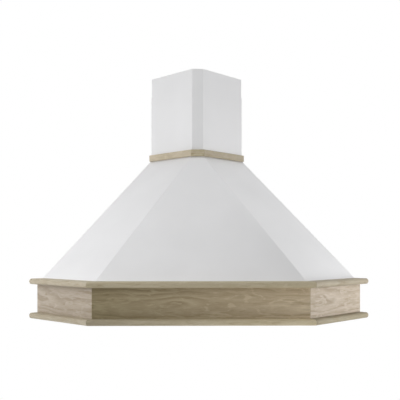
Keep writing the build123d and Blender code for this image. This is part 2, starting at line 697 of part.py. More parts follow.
def plenum_box():
    """The box over the filters, open below and flanged on the base panel."""
    box = plenum_body(0.0, PANEL_TOP)
    box += upright(plenum_plan(PLENUM_FLANGE), PANEL_TOP, PANEL_TOP + SHEET)
    box -= plenum_body(SHEET, PANEL_TOP - PAST)
    box -= peg((0.0, DUCT_Y, PLENUM_TOP - 2 * SHEET), UP, COLLAR_R - COLLAR_T, 4 * SHEET)
    box = drilled(box, COLLAR_SEATS, SHEET_SCREW_L)
    return drilled(box, PLENUM_SEATS, SHEET_SCREW_L)


def axial(radius, x0, x1):
    """A cylinder on the blower's axis."""
    return peg((x0, AXIS_Y, AXIS_Z), ACROSS, radius, x1 - x0)


def scroll(grow, x0, x1, rise=OUTLET_RISE):
    """The scroll's outline grown outwards and given a width."""
    h = SCROLL_HALF
    first, second, third, fourth = (SCROLL_R + i * SCROLL_STEP + grow for i in range(4))
    tongue_y = TONGUE_Y - grow
    tongue_angle = degrees(acos((tongue_y + h) / first))
    tongue_z = h + first * sin(radians(tongue_angle))
    back = h + fourth
    outline = [
        CenterArc((-h, h), first, tongue_angle, 90 - tongue_angle),
        CenterArc((-h, -h), second, 90, 90),
        CenterArc((h, -h), third, 180, 90),
        CenterArc((h, h), fourth, 270, 90),
        Line((back, h), (back, rise)),
        Line((back, rise), (tongue_y, rise)),
        Line((tongue_y, rise), (tongue_y, tongue_z)),
    ]
    side = Plane(origin=(x0, AXIS_Y, AXIS_Z), x_dir=(0, 1, 0), z_dir=ACROSS) * make_face(outline)
    return extrude(side, amount=x1 - x0, dir=ACROSS)


def blower_half():
    """The right half of the scroll, with its parting lip and its round inlet."""
    half = SCROLL_W / 2
    shell = scroll(SCROLL_T, 0.0, half) + scroll(SCROLL_T + SCROLL_LIP, 0.0, SCROLL_LIP_T)
    shell -= scroll(0.0, -PAST, half - SCROLL_T, OUTLET_RISE + PAST)
    shell += axial(INLET_R + INLET_LIP, half - SCROLL_T, half + INLET_DEPTH)
    return shell - axial(INLET_R, half - SCROLL_T - PAST, half + INLET_DEPTH + PAST)


def impeller():
    """A double-inlet wheel: a middle disc, two end rings and blades that lean forwards."""
    half = WHEEL_W / 2
    inner = WHEEL_R - BLADE_DEPTH
    wheel = axial(WHEEL_R, -WHEEL_DISC_T / 2, WHEEL_DISC_T / 2) + axial(HUB_R, -HUB_W / 2, HUB_W / 2)
    for x in (-half, half - WHEEL_DISC_T):
        wheel += axial(WHEEL_R, x, x + WHEEL_DISC_T) - axial(inner, x - PAST, x + WHEEL_DISC_T + PAST)
    length = 0.86 * BLADE_DEPTH / cos(radians(BLADE_LEAN))
    middle = WHEEL_R - BLADE_DEPTH / 2
    blade = Pos(0, 0, middle) * Rot(BLADE_LEAN, 0, 0) * Box(WHEEL_W, BLADE_T, length)
    hub = Pos(0, AXIS_Y, AXIS_Z)
    blades = [hub * Rot(360 * i / BLADE_COUNT, 0, 0) * blade for i in range(BLADE_COUNT)]
    wheel = wheel + blades
    return wheel - axial(SHAFT_R + BEARING_FIT, -HUB_W, HUB_W)


def motor_bearing_starts():
    """Where the two bearings start along the shaft."""
    return MOTOR_X + END_BELL - BEARING_W, MOTOR_END - END_BELL


def motor_pieces():
    """The motor inside the wheel: its case, stack, bearings and what turns in them."""
    front, rear = motor_bearing_starts()
    seat = BEARING_R + BEARING_FIT
    body = axial(MOTOR_R, MOTOR_X, MOTOR_END)
    body -= axial(MOTOR_R - MOTOR_WALL, MOTOR_X + END_BELL, MOTOR_END - END_BELL)
    body -= axial(seat, front, MOTOR_X + END_BELL + PAST)
    body -= axial(seat, rear - PAST, rear + BEARING_W)
    body -= axial((SHAFT_R + BEARING_R) / 2, MOTOR_X - PAST, front + PAST)
    bore = SHAFT_R + BEARING_FIT
    bearings = [axial(BEARING_R, x, x + BEARING_W) - axial(bore, x - PAST, x + BEARING_W + PAST)
                for x in (front, rear)]
    stack = MOTOR_X + (MOTOR_L - STACK_L) / 2
    stator = axial(MOTOR_R - MOTOR_WALL - STATOR_FIT, stack, stack + STACK_L)
    stator -= axial(ROTOR_R + AIR_GAP, stack - PAST, stack + STACK_L + PAST)
    rotor = axial(ROTOR_R, stack, stack + STACK_L) - axial(bore, stack - PAST, stack + STACK_L + PAST)
    shaft = axial(SHAFT_R, -HUB_W / 2 - SHAFT_R / 2, rear + BEARING_W - PAST)
    return {"motor_body": body, "stator": stator, "motor_bearings": group(bearings),
            "rotor": rotor, "motor_shaft": shaft}


def motor_mount():
    """A spider from the motor's end to the scroll's right side."""
    wall = SCROLL_W / 2
    arm_x = wall + INLET_DEPTH + SIDE_GAP
    foot_r = INLET_R + INLET_LIP + ARM_T
    reach = foot_r + ARM_FOOT
    spider = axial(ARM_HUB_R, MOTOR_END, arm_x + ARM_T)
    hub = Pos(0, AXIS_Y, AXIS_Z)
    for i in range(ARM_COUNT):
        arm = block(arm_x, arm_x + ARM_T, -ARM_W / 2, ARM_W / 2, 0.0, reach)
        foot = block(wall, arm_x + ARM_T, -ARM_W / 2, ARM_W / 2, foot_r, reach)
        spider += hub * Rot(360 * i / ARM_COUNT + 180, 0, 0) * (arm + foot)
    return spider


def outlet_collar():
    """The duct collar on the plenum, with a ledge under the flaps and holes for their pin."""
    base = (0.0, DUCT_Y, PLENUM_TOP)
    pin_z = PLENUM_TOP + FLAP_Z
    ledge_top = pin_z - FLAP_T / 2 - SIDE_GAP
    collar = peg(base, UP, COLLAR_R + COLLAR_FLANGE, SHEET) + peg(base, UP, COLLAR_R, COLLAR_H)
    bore = COLLAR_R - COLLAR_T
    collar -= peg((0.0, DUCT_Y, ledge_top), UP, bore, COLLAR_H)
    collar -= peg((0.0, DUCT_Y, PLENUM_TOP - PAST), UP, bore, ledge_top - PLENUM_TOP - SHEET + PAST)
    ledge_cut = peg((0.0, DUCT_Y, ledge_top - 2 * SHEET), UP, bore - FLAP_LEDGE, 3 * SHEET)
    collar -= ledge_cut
    collar -= peg((-COLLAR_R - PAST, DUCT_Y, pin_z), ACROSS, FLAP_PIN_R + BEARING_FIT, 2 * COLLAR_R + 2 * PAST)
    return drilled(collar, COLLAR_SEATS, SHEET_SCREW_L)


def flap(sign, knuckle_xs):
    """A half-disc flap on the pin; sign is the side of the pin that it covers."""
    z = PLENUM_TOP + FLAP_Z
    radius = COLLAR_R - COLLAR_T - FLAP_CLEAR
    edge = KNUCKLE_R + 2 * SIDE_GAP
    plate = peg((0.0, DUCT_Y, z - FLAP_T / 2), UP, radius, FLAP_T)
    far = DUCT_Y + sign * radius * 2
    near = DUCT_Y + sign * edge
    plate &= block(-COLLAR_R, COLLAR_R, min(far, near), max(far, near), z - FLAP_T, z + FLAP_T)
    half = KNUCKLE_W / 2
    for x in knuckle_xs:
        plate += peg((x - half, DUCT_Y, z), ACROSS, KNUCKLE_R, KNUCKLE_W)
        outer = DUCT_Y + sign * (edge + KNUCKLE_R)
        plate += block(x - half, x + half, min(DUCT_Y, outer), max(DUCT_Y, outer), z - FLAP_T / 2, z + FLAP_T / 2)
    return plate - peg((-COLLAR_R, DUCT_Y, z), ACROSS, FLAP_PIN_R + BEARING_FIT, 2 * COLLAR_R)


def duct_pieces():
    """The collar, its flap pin and the two flaps."""
    z = PLENUM_TOP + FLAP_Z
    pin = peg((-COLLAR_R, DUCT_Y, z), ACROSS, FLAP_PIN_R, 2 * COLLAR_R)
    return {"outlet_collar": outlet_collar(), "flap_pin": pin,
            "front_flap": flap(-1, (-1.5 * KNUCKLE_PITCH, 0.5 * KNUCKLE_PITCH)),
            "rear_flap": flap(1, (-0.5 * KNUCKLE_PITCH, 1.5 * KNUCKLE_PITCH))}


def lamp_pieces():
    """Two spot lamps: a can with a bezel, and a lens seated inside it."""
    cans = []
    lenses = []
    lens_z = RECESS - LAMP_BEZEL_T / 2
    for sign in (-1, 1):
        place = (sign * LAMP_X, CONTROL_Y)
        can = peg((*place, RECESS - LAMP_BEZEL_T), UP, LAMP_R + LAMP_BEZEL, LAMP_BEZEL_T)
        can += peg((*place, RECESS), UP, LAMP_R, LAMP_H)
        can -= peg((*place, RECESS - LAMP_BEZEL_T - PAST), UP, LAMP_R - LAMP_WALL,
                   LAMP_BEZEL_T / 2 + LENS_T + PAST)
        can -= peg((*place, RECESS - LAMP_BEZEL_T), UP, LAMP_R - 2 * LAMP_WALL, LAMP_H)
        cans.append(can)
        lenses.append(peg((*place, lens_z), UP, LAMP_R - LAMP_WALL - LENS_FIT, LENS_T))
    return {"lamp_housings": group(cans), "lamp_lenses": group(lenses)}


def control_fascia():
    """The button plate under the base panel."""
    plate = Pos(0, CONTROL_Y, FASCIA_Z) * extrude(
        RectangleRounded(FASCIA_W, FASCIA_D, FASCIA_CORNER_R), amount=FASCIA_T)
    for x in BUTTON_XS:
        plate -= peg((x, CONTROL_Y, FASCIA_Z - PAST), UP, BUTTON_R + BUTTON_FIT, FASCIA_T + 2 * PAST)
    return plate


def button(x):
    """A push button: a cap, a shoulder behind the fascia and a stem into its switch."""
    place = (x, CONTROL_Y)
    cap = peg((*place, FASCIA_Z - BUTTON_PROUD), UP, BUTTON_R, BUTTON_PROUD + FASCIA_T)
    cap = fillet(cap.edges().sort_by(Axis.Z)[0], 0.4 * BUTTON_PROUD)
    shoulder = peg((*place, RECESS), UP, SHOULDER_R, BUTTON_SHOULDER)
    stem = peg((*place, RECESS), UP, BUTTON_STEM_R, SWITCH_Z + STEM_REACH - RECESS)
    return cap + shoulder + stem


def control_box():
    """A cover over the switches, open below, with standoffs for the board."""
    top = PANEL_TOP + BOX_H
    y0 = CONTROL_Y - BOX_D / 2
    y1 = CONTROL_Y + BOX_D / 2
    x = BOX_W / 2
    box = block(-x, x, y0, y1, PANEL_TOP, top)
    box += block(-x - BOX_FLANGE, x + BOX_FLANGE, y0 - BOX_FLANGE, y1 + BOX_FLANGE,
                 PANEL_TOP, PANEL_TOP + BOX_WALL)
    box -= block(BOX_WALL - x, x - BOX_WALL, y0 + BOX_WALL, y1 - BOX_WALL, PANEL_TOP - PAST, top - BOX_WALL)
    for sx in (-1, 1):
        place = (sx * (FASCIA_W / 2 - STANDOFF_R), CONTROL_Y, BOARD_Z + BOARD_T)
        box += peg(place, UP, STANDOFF_R, top - BOX_WALL - BOARD_Z - BOARD_T + BOX_WALL / 2)
    return box


def switch_board():
    """The circuit board with a switch over each button."""
    board = block(-FASCIA_W / 2, FASCIA_W / 2, CONTROL_Y - FASCIA_D / 2, CONTROL_Y + FASCIA_D / 2,
                  BOARD_Z, BOARD_Z + BOARD_T)
    for x in BUTTON_XS:
        half = SWITCH_W / 2
        board += block(x - half, x + half, CONTROL_Y - half, CONTROL_Y + half, SWITCH_Z, BOARD_Z)
        board -= peg((x, CONTROL_Y, SWITCH_Z - PAST), UP, BUTTON_STEM_R + BUTTON_FIT,
                     STEM_REACH + BUTTON_TRAVEL + BUTTON_FIT + PAST)
    return board


def wiring():
    """The run capacitor, the mains cable gland and the lead from the plenum to the controls."""
    box_y = CONTROL_Y + BOX_D / 2
    can_y = (PLENUM_FRONT - PLENUM_FLANGE + box_y + BOX_FLANGE) / 2
    capacitor = peg((CAPACITOR_X, can_y, PANEL_TOP), UP, CAPACITOR_R, CAPACITOR_H)
    gland_y = (PLENUM_TOP_FRONT + AXIS_Y) / 2
    nut = extrude(RegularPolygon(GLAND_NUT_R, 6), amount=GLAND_NUT_H)
    gland = Pos(GLAND_X, gland_y, PLENUM_TOP) * (nut + Cylinder(GLAND_R, GLAND_H, align=LOW))
    gland -= peg((GLAND_X, gland_y, PLENUM_TOP - PAST), UP, GLAND_BORE_R, GLAND_H + 2 * PAST)
    exit_z = PANEL_TOP + LEAD_EXIT_H
    entry_z = PANEL_TOP + LEAD_ENTRY_H
    route = FilletPolyline((LEAD_X, PLENUM_FRONT, exit_z), (LEAD_X, PLENUM_FRONT - LEAD_RUN, exit_z),
                           (LEAD_X, box_y + LEAD_RUN, entry_z), (LEAD_X, box_y, entry_z), radius=LEAD_RUN)
    lead = sweep(Plane(origin=route @ 0, z_dir=route % 0) * Circle(LEAD_R), path=route)
    return {"capacitor": capacitor, "mains_gland": gland, "motor_lead": lead}


def fasteners():
    """All screws, in two groups."""
    sheet = [screw(seat, SHEET_SCREW_L) for seat in COLLAR_SEATS + PLENUM_SEATS]
    sheet += [screw(seat, RAIL_SCREW_L) for seat in RAIL_SEATS]
    return {"sheet_screws": group(sheet),
            "wood_screws": group([screw(seat, WOOD_SCREW_L) for seat in WOOD_SEATS])}


def hood():
    """Every piece of the hood by its node name."""
    rail = left_wall_rail()
    half = blower_half()
    pieces = {
        "canopy_shell": canopy_shell(),
        "lower_chimney": chimney_sleeve(CHIMNEY, BRACKET_T, CHIMNEY_Z, LOWER_TOP),
        "upper_chimney": chimney_sleeve(UPPER_CHIMNEY, UPPER_SETBACK, UPPER_TOP - UPPER_CHIMNEY_H, UPPER_TOP),
        "lower_chimney_bracket": wall_bracket(BRACKET_T, LOWER_TOP),
        "upper_chimney_bracket": wall_bracket(UPPER_SETBACK - SLIDE_GAP, UPPER_TOP),
        "left_wall_rail": rail,
        "right_wall_rail": flipped(rail),
        "base_panel": base_panel(),
        "frieze_brackets": frieze_brackets(),
        "plenum_box": plenum_box(),
        "blower_housing_right": half,
        "blower_housing_left": flipped(half),
        "impeller": impeller(),
        "motor_mount": motor_mount(),
        "control_fascia": control_fascia(),
        "control_box": control_box(),
        "switch_board": switch_board(),
        "filter_hinge_brackets": filter_hinge_brackets(),
        "filter_spring_clips": filter_spring_clips(),
    }
    for group_of_pieces in (oak_boards(), motor_pieces(), duct_pieces(), lamp_pieces(), wiring(), fasteners()):
        pieces.update(group_of_pieces)
    for name, x in zip(BUTTON_NAMES, BUTTON_XS):
        pieces[f"button_{name}"] = button(x)
    for side, sign in (("left", -1), ("right", 1)):
        pieces[f"{side}_filter_frame"] = filter_frame(sign)
        pieces[f"{side}_filter_mesh"] = filter_mesh(sign)
        pieces[f"{side}_filter_handle"] = filter_handle(sign)
    return pieces


def main():
    """Write each piece as a STEP file."""
    os.makedirs("parts", exist_ok=True)
    for name, piece in hood().items():
        export_step(piece, f"parts/{name}.step")


main()
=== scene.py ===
"""A corner range hood in a plain studio: oak skirt, white canopy and chimney, filters, lamps and blower.

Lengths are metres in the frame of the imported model. The origin is on the room's corner line, level with the
underside of the skirt, +Z is up and the wide front faces -Y.
"""

import json
import logging
import math
from abc import ABC, abstractmethod
from collections.abc import Callable, Iterator, Sequence
from contextlib import contextmanager
from dataclasses import dataclass, field
from enum import Enum

import bmesh
import bpy
from mathutils import Matrix, Vector

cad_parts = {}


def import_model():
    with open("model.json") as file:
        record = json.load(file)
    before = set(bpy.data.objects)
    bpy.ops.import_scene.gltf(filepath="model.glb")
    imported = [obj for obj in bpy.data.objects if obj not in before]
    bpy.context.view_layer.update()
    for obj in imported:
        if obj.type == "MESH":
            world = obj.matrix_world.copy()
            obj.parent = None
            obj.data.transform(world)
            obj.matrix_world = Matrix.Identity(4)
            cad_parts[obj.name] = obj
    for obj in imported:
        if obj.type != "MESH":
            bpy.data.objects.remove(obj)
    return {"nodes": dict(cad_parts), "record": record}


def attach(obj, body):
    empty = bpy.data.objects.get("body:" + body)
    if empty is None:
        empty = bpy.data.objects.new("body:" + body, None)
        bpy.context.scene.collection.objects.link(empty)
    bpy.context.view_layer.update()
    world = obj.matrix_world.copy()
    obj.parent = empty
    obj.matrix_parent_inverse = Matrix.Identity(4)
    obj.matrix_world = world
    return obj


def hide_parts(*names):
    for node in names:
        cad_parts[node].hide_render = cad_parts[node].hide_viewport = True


log = logging.getLogger("corner_hood")

MM = 0.001
MERGE_DISTANCE = 0.002 * MM     # loose triangle corners closer than this are one point
FLAT_ANGLE = math.radians(0.5)  # faces closer than this in direction are one flat face
SMOOTH_ANGLE = math.radians(38)
ARRIS_ANGLE = math.radians(50)  # edges sharper than this get an arris
STEEP = 0.6                     # a face whose normal rises or falls by less than this is a wall
SQUARE_SLACK = 0.01             # the sideways share of an edge that still runs along an axis

Colour = tuple[float, float, float, float]
Stop = tuple[float, Colour]
Place = tuple[float, float, float]
Tree = bpy.types.NodeTree
Socket = bpy.types.NodeSocket
Piece = bpy.types.Object


class Side(Enum):
    """The two halves of the hood, as the pieces name them."""

    LEFT = "left"
    RIGHT = "right"


class Run(Enum):
    """The way that a board runs in plan, as a turn from +X about the upright axis."""

    LEFT = math.radians(-45)
    FRONT = 0.0
    RIGHT = math.radians(45)

    @property
    def word(self) -> str:
        """The board's place as the pieces use it."""
        return self.name.lower()


class Element(Enum):
    """What edit mode selects."""

    EDGE = "EDGE"
    FACE = "FACE"


class Mark(Enum):
    """What is pressed into a button's dish: a ring, a count of bars or a full disc."""

    RING = 0
    ONE_BAR = 1
    TWO_BARS = 2
    THREE_BARS = 3
    DISC = 4


def linear(hex_colour: str) -> Colour:
    """Turn an sRGB hex colour into linear light.

    Args:
        hex_colour: Six hex digits after a hash sign.

    Returns:
        Red, green, blue and a full alpha.
    """
    parts = [int(hex_colour[i:i + 2], 16) / 255 for i in (1, 3, 5)]
    light = [p / 12.92 if p <= 0.04045 else ((p + 0.055) / 1.055) ** 2.4 for p in parts]
    return (light[0], light[1], light[2], 1.0)


def add_node(tree: Tree, kind: str, inputs: dict[str | int, object] | None = None, stops: Sequence[Stop] = (),
             out: str = "", **settings: object) -> Socket | None:
    """Add a shader node.

    Args:
        tree: The material's or world's node tree.
        kind: The node's type name.
        inputs: A value or a linked socket for each input, by its name or number.
        stops: Places and colours for a colour ramp.
        out: The output that is wanted, if it isn't the first one in use.
        **settings: Properties of the node.

    Returns:
        That output, or None where the node has no outputs.
    """
    node = tree.nodes.new(kind)
    for name, value in settings.items():
        setattr(node, name, value)
    for key, value in (inputs or {}).items():
        if isinstance(value, Socket):
            tree.links.new(value, node.inputs[key])
        else:
            node.inputs[key].default_value = value
    for number, (place, colour) in enumerate(stops):
        elements = node.color_ramp.elements
        element = elements[number] if number < 2 else elements.new(place)
        element.position = place
        element.color = colour
    return node.outputs[out] if out else next((found for found in node.outputs if found.enabled), None)


@dataclass(frozen=True)
class Finish(ABC):
    """A surface finish that several pieces may share."""

    name: str

    def material(self) -> bpy.types.Material:
        """Find or make the finish's material.

        Returns:
            The one material that every piece with this finish shares.
        """
        found = bpy.data.materials.get(self.name)
        if found is not None:
            return found
        made = bpy.data.materials.new(self.name)
        made.use_nodes = True
        tree = made.node_tree
        tree.nodes.clear()
        shader = add_node(tree, "ShaderNodeBsdfPrincipled", self.surface(tree))
        add_node(tree, "ShaderNodeOutputMaterial", {"Surface": shader})
        return made

    @abstractmethod
    def surface(self, tree: Tree) -> dict[str, object]:
        """Lay out the finish's patterns.

        Args:
            tree: The material's node tree.

        Returns:
            What goes into each of the shader's inputs.
        """


@dataclass(frozen=True)
class GrainedFinish(Finish):
    """An even colour with slow patches of tone, and a fine grain in its gloss and its relief."""

    colour: str
    patch: str
    patch_mm: float
    grain_mm: float
    roughness: float
    relief_mm: float
    spread: float = 0.07        # how far the gloss varies with the grain
    stir: float = 0.0           # how far the patches are stirred

    def constants(self) -> dict[str, float]:
        """Values that are the same all over the surface."""
        return {}

    def surface(self, tree: Tree) -> dict[str, object]:
        """Lay out the patches and the grain.

        Args:
            tree: The material's node tree.

        Returns:
            Tone from the patches, gloss and relief from the grain.
        """
        place = add_node(tree, "ShaderNodeTexCoord", out="Object")
        patches = add_node(tree, "ShaderNodeTexNoise",
                           {"Vector": place, "Scale": 1 / (self.patch_mm * MM), "Detail": 2.0,
                            "Distortion": self.stir})
        grain = add_node(tree, "ShaderNodeTexNoise",
                         {"Vector": place, "Scale": 1 / (self.grain_mm * MM), "Detail": 2.0})
        tone = add_node(tree, "ShaderNodeValToRGB", {"Fac": patches},
                        stops=((0.35, linear(self.patch)), (0.65, linear(self.colour))))
        rough = add_node(tree, "ShaderNodeMapRange",
                         {"Value": grain, "To Min": self.roughness - self.spread,
                          "To Max": self.roughness + self.spread})
        bump = add_node(tree, "ShaderNodeBump",
                        {"Height": grain, "Strength": 0.3, "Distance": self.relief_mm * MM})
        return {"Base Color": tone, "Roughness": rough, "Normal": bump, **self.constants()}


@dataclass(frozen=True)
class PowderCoat(GrainedFinish):
    """Polyester powder coat baked on steel sheet: an even semi-gloss skin with a fine orange peel."""

    colour: str = "#EDEDEE"
    patch: str = "#E9E9EA"
    patch_mm: float = 260.0     # slow change in the film's thickness
    grain_mm: float = 4.0       # the real peel is about 1 mm; drawn coarser so that it shows
    roughness: float = 0.38
    relief_mm: float = 0.05
    spread: float = 0.03


@dataclass(frozen=True)
class CastMetal(GrainedFinish):
    """Cast, ground or plated metal: a fine even grain, slow patches of tone and its own gloss."""

    def constants(self) -> dict[str, float]:
        """Metal all over."""
        return {"Metallic": 1.0}


@dataclass(frozen=True)
class MouldedPlastic(GrainedFinish):
    """Injection-moulded plastic: an even colour with a spark-eroded mould grain and stirred flow marks."""

    stir: float = 0.6


@dataclass(frozen=True)
class FrostedGlass(GrainedFinish):
    """Pressed soda glass with an etched back: it holds a little depth, and its rings catch the light."""

    colour: str = "#F1F1EB"
    patch: str = "#E4E5E0"
    patch_mm: float = 9.0
    grain_mm: float = 1.5
    roughness: float = 0.14
    relief_mm: float = 0.02
    spread: float = 0.04

    def constants(self) -> dict[str, float]:
        """A little light goes through."""
        return {"Transmission Weight": 0.35, "IOR": 1.52}


class Stock(Enum):
    """Batches of oak, by the tones of their early, middle and late wood."""

    PALE = ("#CBBFB0", "#BCAE9C", "#9D8E78")
    HONEY = ("#D7C8AD", "#C0AF94", "#A39173")
    GREY = ("#BCB29E", "#B2A792", "#A3977F")
    OLIVE = ("#CDC2A8", "#C4B89C", "#B5A888")


@dataclass(frozen=True)
class Streak:
    """Noise drawn out along x, which shows where it is high enough."""

    length_mm: float
    width_mm: float
    low: float = 0.0            # the noise at which the streaks start to show
    high: float = 1.0           # and at which they are strongest
    strength: float = 1.0       # how strong that is
    ragged: float = 0.0         # how torn their edges are
    detail: float = 2.0

    def noise(self, tree: Tree, place: Socket) -> Socket:
        """Draw the noise out.

        Args:
            tree: The material's node tree.
            place: Coordinates with the streaks along x.

        Returns:
            The noise.
        """
        length, width = self.length_mm * MM, self.width_mm * MM
        drawn = add_node(tree, "ShaderNodeVectorMath", {0: place, 1: (1 / length, 1 / width, 1 / width)},
                         operation="MULTIPLY")
        return add_node(tree, "ShaderNodeTexNoise", {"Vector": drawn, "Scale": 1.0, "Detail": self.detail,
                                                     "Distortion": self.ragged})

    def shown(self, tree: Tree, place: Socket) -> Socket:
        """Turn the noise into streaks.

        Args:
            tree: The material's node tree.
            place: Coordinates with the streaks along x.

        Returns:
            A socket with the streaks' strength.
        """
        return add_node(tree, "ShaderNodeMapRange",
                        {"Value": self.noise(tree, place), "From Min": self.low, "From Max": self.high,
                         "To Max": self.strength})


@dataclass(frozen=True)
class RawOak(Finish):
    """Sanded, unsealed oak, flat sawn: soft ring figure, ragged flames, flecks, open pores and no gloss."""

    run: Run
    stock: Stock
    pith: tuple[float, float]       # the log's centre across and up, in the board's own axes
    seed: float                     # how far along the log the board was cut
    reach: tuple[float, float]      # where the board's two ends are, along it
    shade: tuple[float, float]      # painted light and shade: how far the wood is brightened or darkened at each end
    tan: tuple[float, float]        # and how much yellower than its stock, along with that painted light and shade
    dash_tone: str = "#9A8768"
    pore_tone: str = "#8F7D60"
    end_tone: str = "#9F8B6D"
    ring_mm: float = 14.0
    wander_mm: float = 95.0         # how far the rings wander along the log
    sway: Streak = Streak(500.0, 143.0, detail=3.0)             # over what length and width they wander
    fade: Streak = Streak(260.0, 45.0, 0.35, 0.65, 0.8)         # patches where the rings stand out or fade
    flame: Streak = Streak(75.0, 26.0, 0.55, 0.65, 0.8, 1.6)    # pale ragged tongues of ray wood
    dash: Streak = Streak(60.0, 7.0, 0.6, 0.72, 0.6, 0.8)       # short and dark, where the rings break up
    fleck: Streak = Streak(38.0, 5.0, 0.55, 0.75, 0.7)
    fibre: Streak = Streak(45.0, 1.6, 0.3, 0.7, 0.4)
    pore: Streak = Streak(16.0, 0.8, 0.6, 0.72, 0.4)            # really 0.3 mm wide; drawn wider to show
    pore_depth: float = 1.5         # how deep the pores go for each step that the fibres rise

    def rings(self, tree: Tree, place: Socket) -> Socket:
        """Count yearly rings out from a wandering pith.

        Args:
            tree: The material's node tree.
            place: Coordinates with the pith along x.

        Returns:
            A socket that rises from 0 to 1 through each year.
        """
        wander = self.wander_mm * MM
        sway = self.sway.noise(tree, place).node.outputs["Color"]
        middle = add_node(tree, "ShaderNodeVectorMath", {0: sway, 1: (0.5, 0.5, 0.5)}, operation="SUBTRACT")
        bent = add_node(tree, "ShaderNodeVectorMath", {0: middle, 1: (0.0, wander, wander), 2: place},
                        operation="MULTIPLY_ADD")
        radial = add_node(tree, "ShaderNodeVectorMath", {0: bent, 1: (0.0, 1.0, 1.0)}, operation="MULTIPLY")
        radius = add_node(tree, "ShaderNodeVectorMath", {0: radial}, operation="LENGTH")
        years = add_node(tree, "ShaderNodeMath", {0: radius, 1: self.ring_mm * MM}, operation="DIVIDE")
        return add_node(tree, "ShaderNodeMath", {0: years}, operation="FRACT")

    def end_grain(self, tree: Tree) -> Socket:
        """Find the faces that cut across the grain.

        Args:
            tree: The material's node tree.

        Returns:
            A socket that rises on the board's two ends.
        """
        heading = (math.cos(self.run.value), math.sin(self.run.value), 0.0)
        facing = add_node(tree, "ShaderNodeNewGeometry", out="Normal")
        lengthwise = add_node(tree, "ShaderNodeVectorMath", {0: facing, 1: heading}, operation="DOT_PRODUCT")
        cut = add_node(tree, "ShaderNodeMath", {0: lengthwise}, operation="ABSOLUTE")
        return add_node(tree, "ShaderNodeMapRange",
                        {"Value": cut, "From Min": 0.6, "From Max": 0.9, "To Max": 0.6})

    def surface(self, tree: Tree) -> dict[str, object]:
        """Lay rings round the pith, then flames, flecks, fibres and pores along the grain, then painted light
        and shade from end to end.

        Args:
            tree: The material's node tree.

        Returns:
            Tone from every layer and the painted light and shade, gloss from the fibres, relief from fibres
            and pores.
        """
        early, middle, late = (linear(tone) for tone in self.stock.value)
        place = add_node(tree, "ShaderNodeTexCoord", out="Object")
        along = add_node(tree, "ShaderNodeMapping",
                         {"Vector": place, "Rotation": (0.0, 0.0, -self.run.value),
                          "Location": (self.seed, -self.pith[0], -self.pith[1])})
        fibres = self.fibre.shown(tree, along)
        pores = self.pore.shown(tree, along)
        layers = (
            (self.fade.shown(tree, along), middle),
            (self.flame.shown(tree, along), early),
            (self.dash.shown(tree, along), linear(self.dash_tone)),
            (self.fleck.shown(tree, along), early),
            (fibres, late),
            (pores, linear(self.pore_tone)),
            (self.end_grain(tree), linear(self.end_tone)),
        )
        wood = add_node(tree, "ShaderNodeValToRGB", {"Fac": self.rings(tree, along)},
                        stops=((0.0, early), (0.4, middle), (0.8, late), (1.0, early)))
        for strength, tone in layers:
            wood = add_node(tree, "ShaderNodeMix", {"Factor": strength, 6: wood, 7: tone}, data_type="RGBA")
        along_x = add_node(tree, "ShaderNodeSeparateXYZ", {"Vector": along}, out="X")
        way = add_node(tree, "ShaderNodeMapRange",
                       {"Value": along_x, "From Min": self.seed + self.reach[0],
                        "From Max": self.seed + self.reach[1]})
        # Painted light and shade: the wood is brightened or darkened from one end to the other, and yellowed
        # by its tan
        ends = [(shade, shade, shade * (1 - tan), 1.0) for shade, tan in zip(self.shade, self.tan)]
        painted_tint = add_node(tree, "ShaderNodeMix", {"Factor": way, 6: ends[0], 7: ends[1]}, data_type="RGBA")
        wood = add_node(tree, "ShaderNodeMix", {"Factor": 1.0, 6: wood, 7: painted_tint}, data_type="RGBA",
                        blend_type="MULTIPLY")
        rough = add_node(tree, "ShaderNodeMapRange",
                         {"Value": fibres, "From Max": self.fibre.strength, "To Min": 0.58, "To Max": 0.72})
        relief = add_node(tree, "ShaderNodeMath", {0: pores, 1: -self.pore_depth, 2: fibres},
                          operation="MULTIPLY_ADD")
        bump = add_node(tree, "ShaderNodeBump", {"Height": relief, "Strength": 0.35, "Distance": 0.25 * MM})
        return {"Base Color": wood, "Roughness": rough, "Normal": bump}


@dataclass(frozen=True)
class GalvanisedSheet(Finish):
    """Hot-dip galvanised sheet: dull zinc with a spangle of crystals."""

    pale: str = "#C9CED2"
    dark: str = "#A6ADB3"
    spangle_mm: float = 14.0

    def surface(self, tree: Tree) -> dict[str, object]:
        """Give each crystal its own tone and gloss.

        Args:
            tree: The material's node tree.

        Returns:
            Tone and gloss from the spangle, metal all over.
        """
        place = add_node(tree, "ShaderNodeTexCoord", out="Object")
        crystals = add_node(tree, "ShaderNodeTexVoronoi",
                            {"Vector": place, "Scale": 1 / (self.spangle_mm * MM)}, out="Color")
        tone = add_node(tree, "ShaderNodeValToRGB", {"Fac": crystals},
                        stops=((0.1, linear(self.dark)), (0.9, linear(self.pale))))
        rough = add_node(tree, "ShaderNodeMapRange", {"Value": crystals, "To Min": 0.36, "To Max": 0.55})
        return {"Base Color": tone, "Roughness": rough, "Metallic": 1.0}


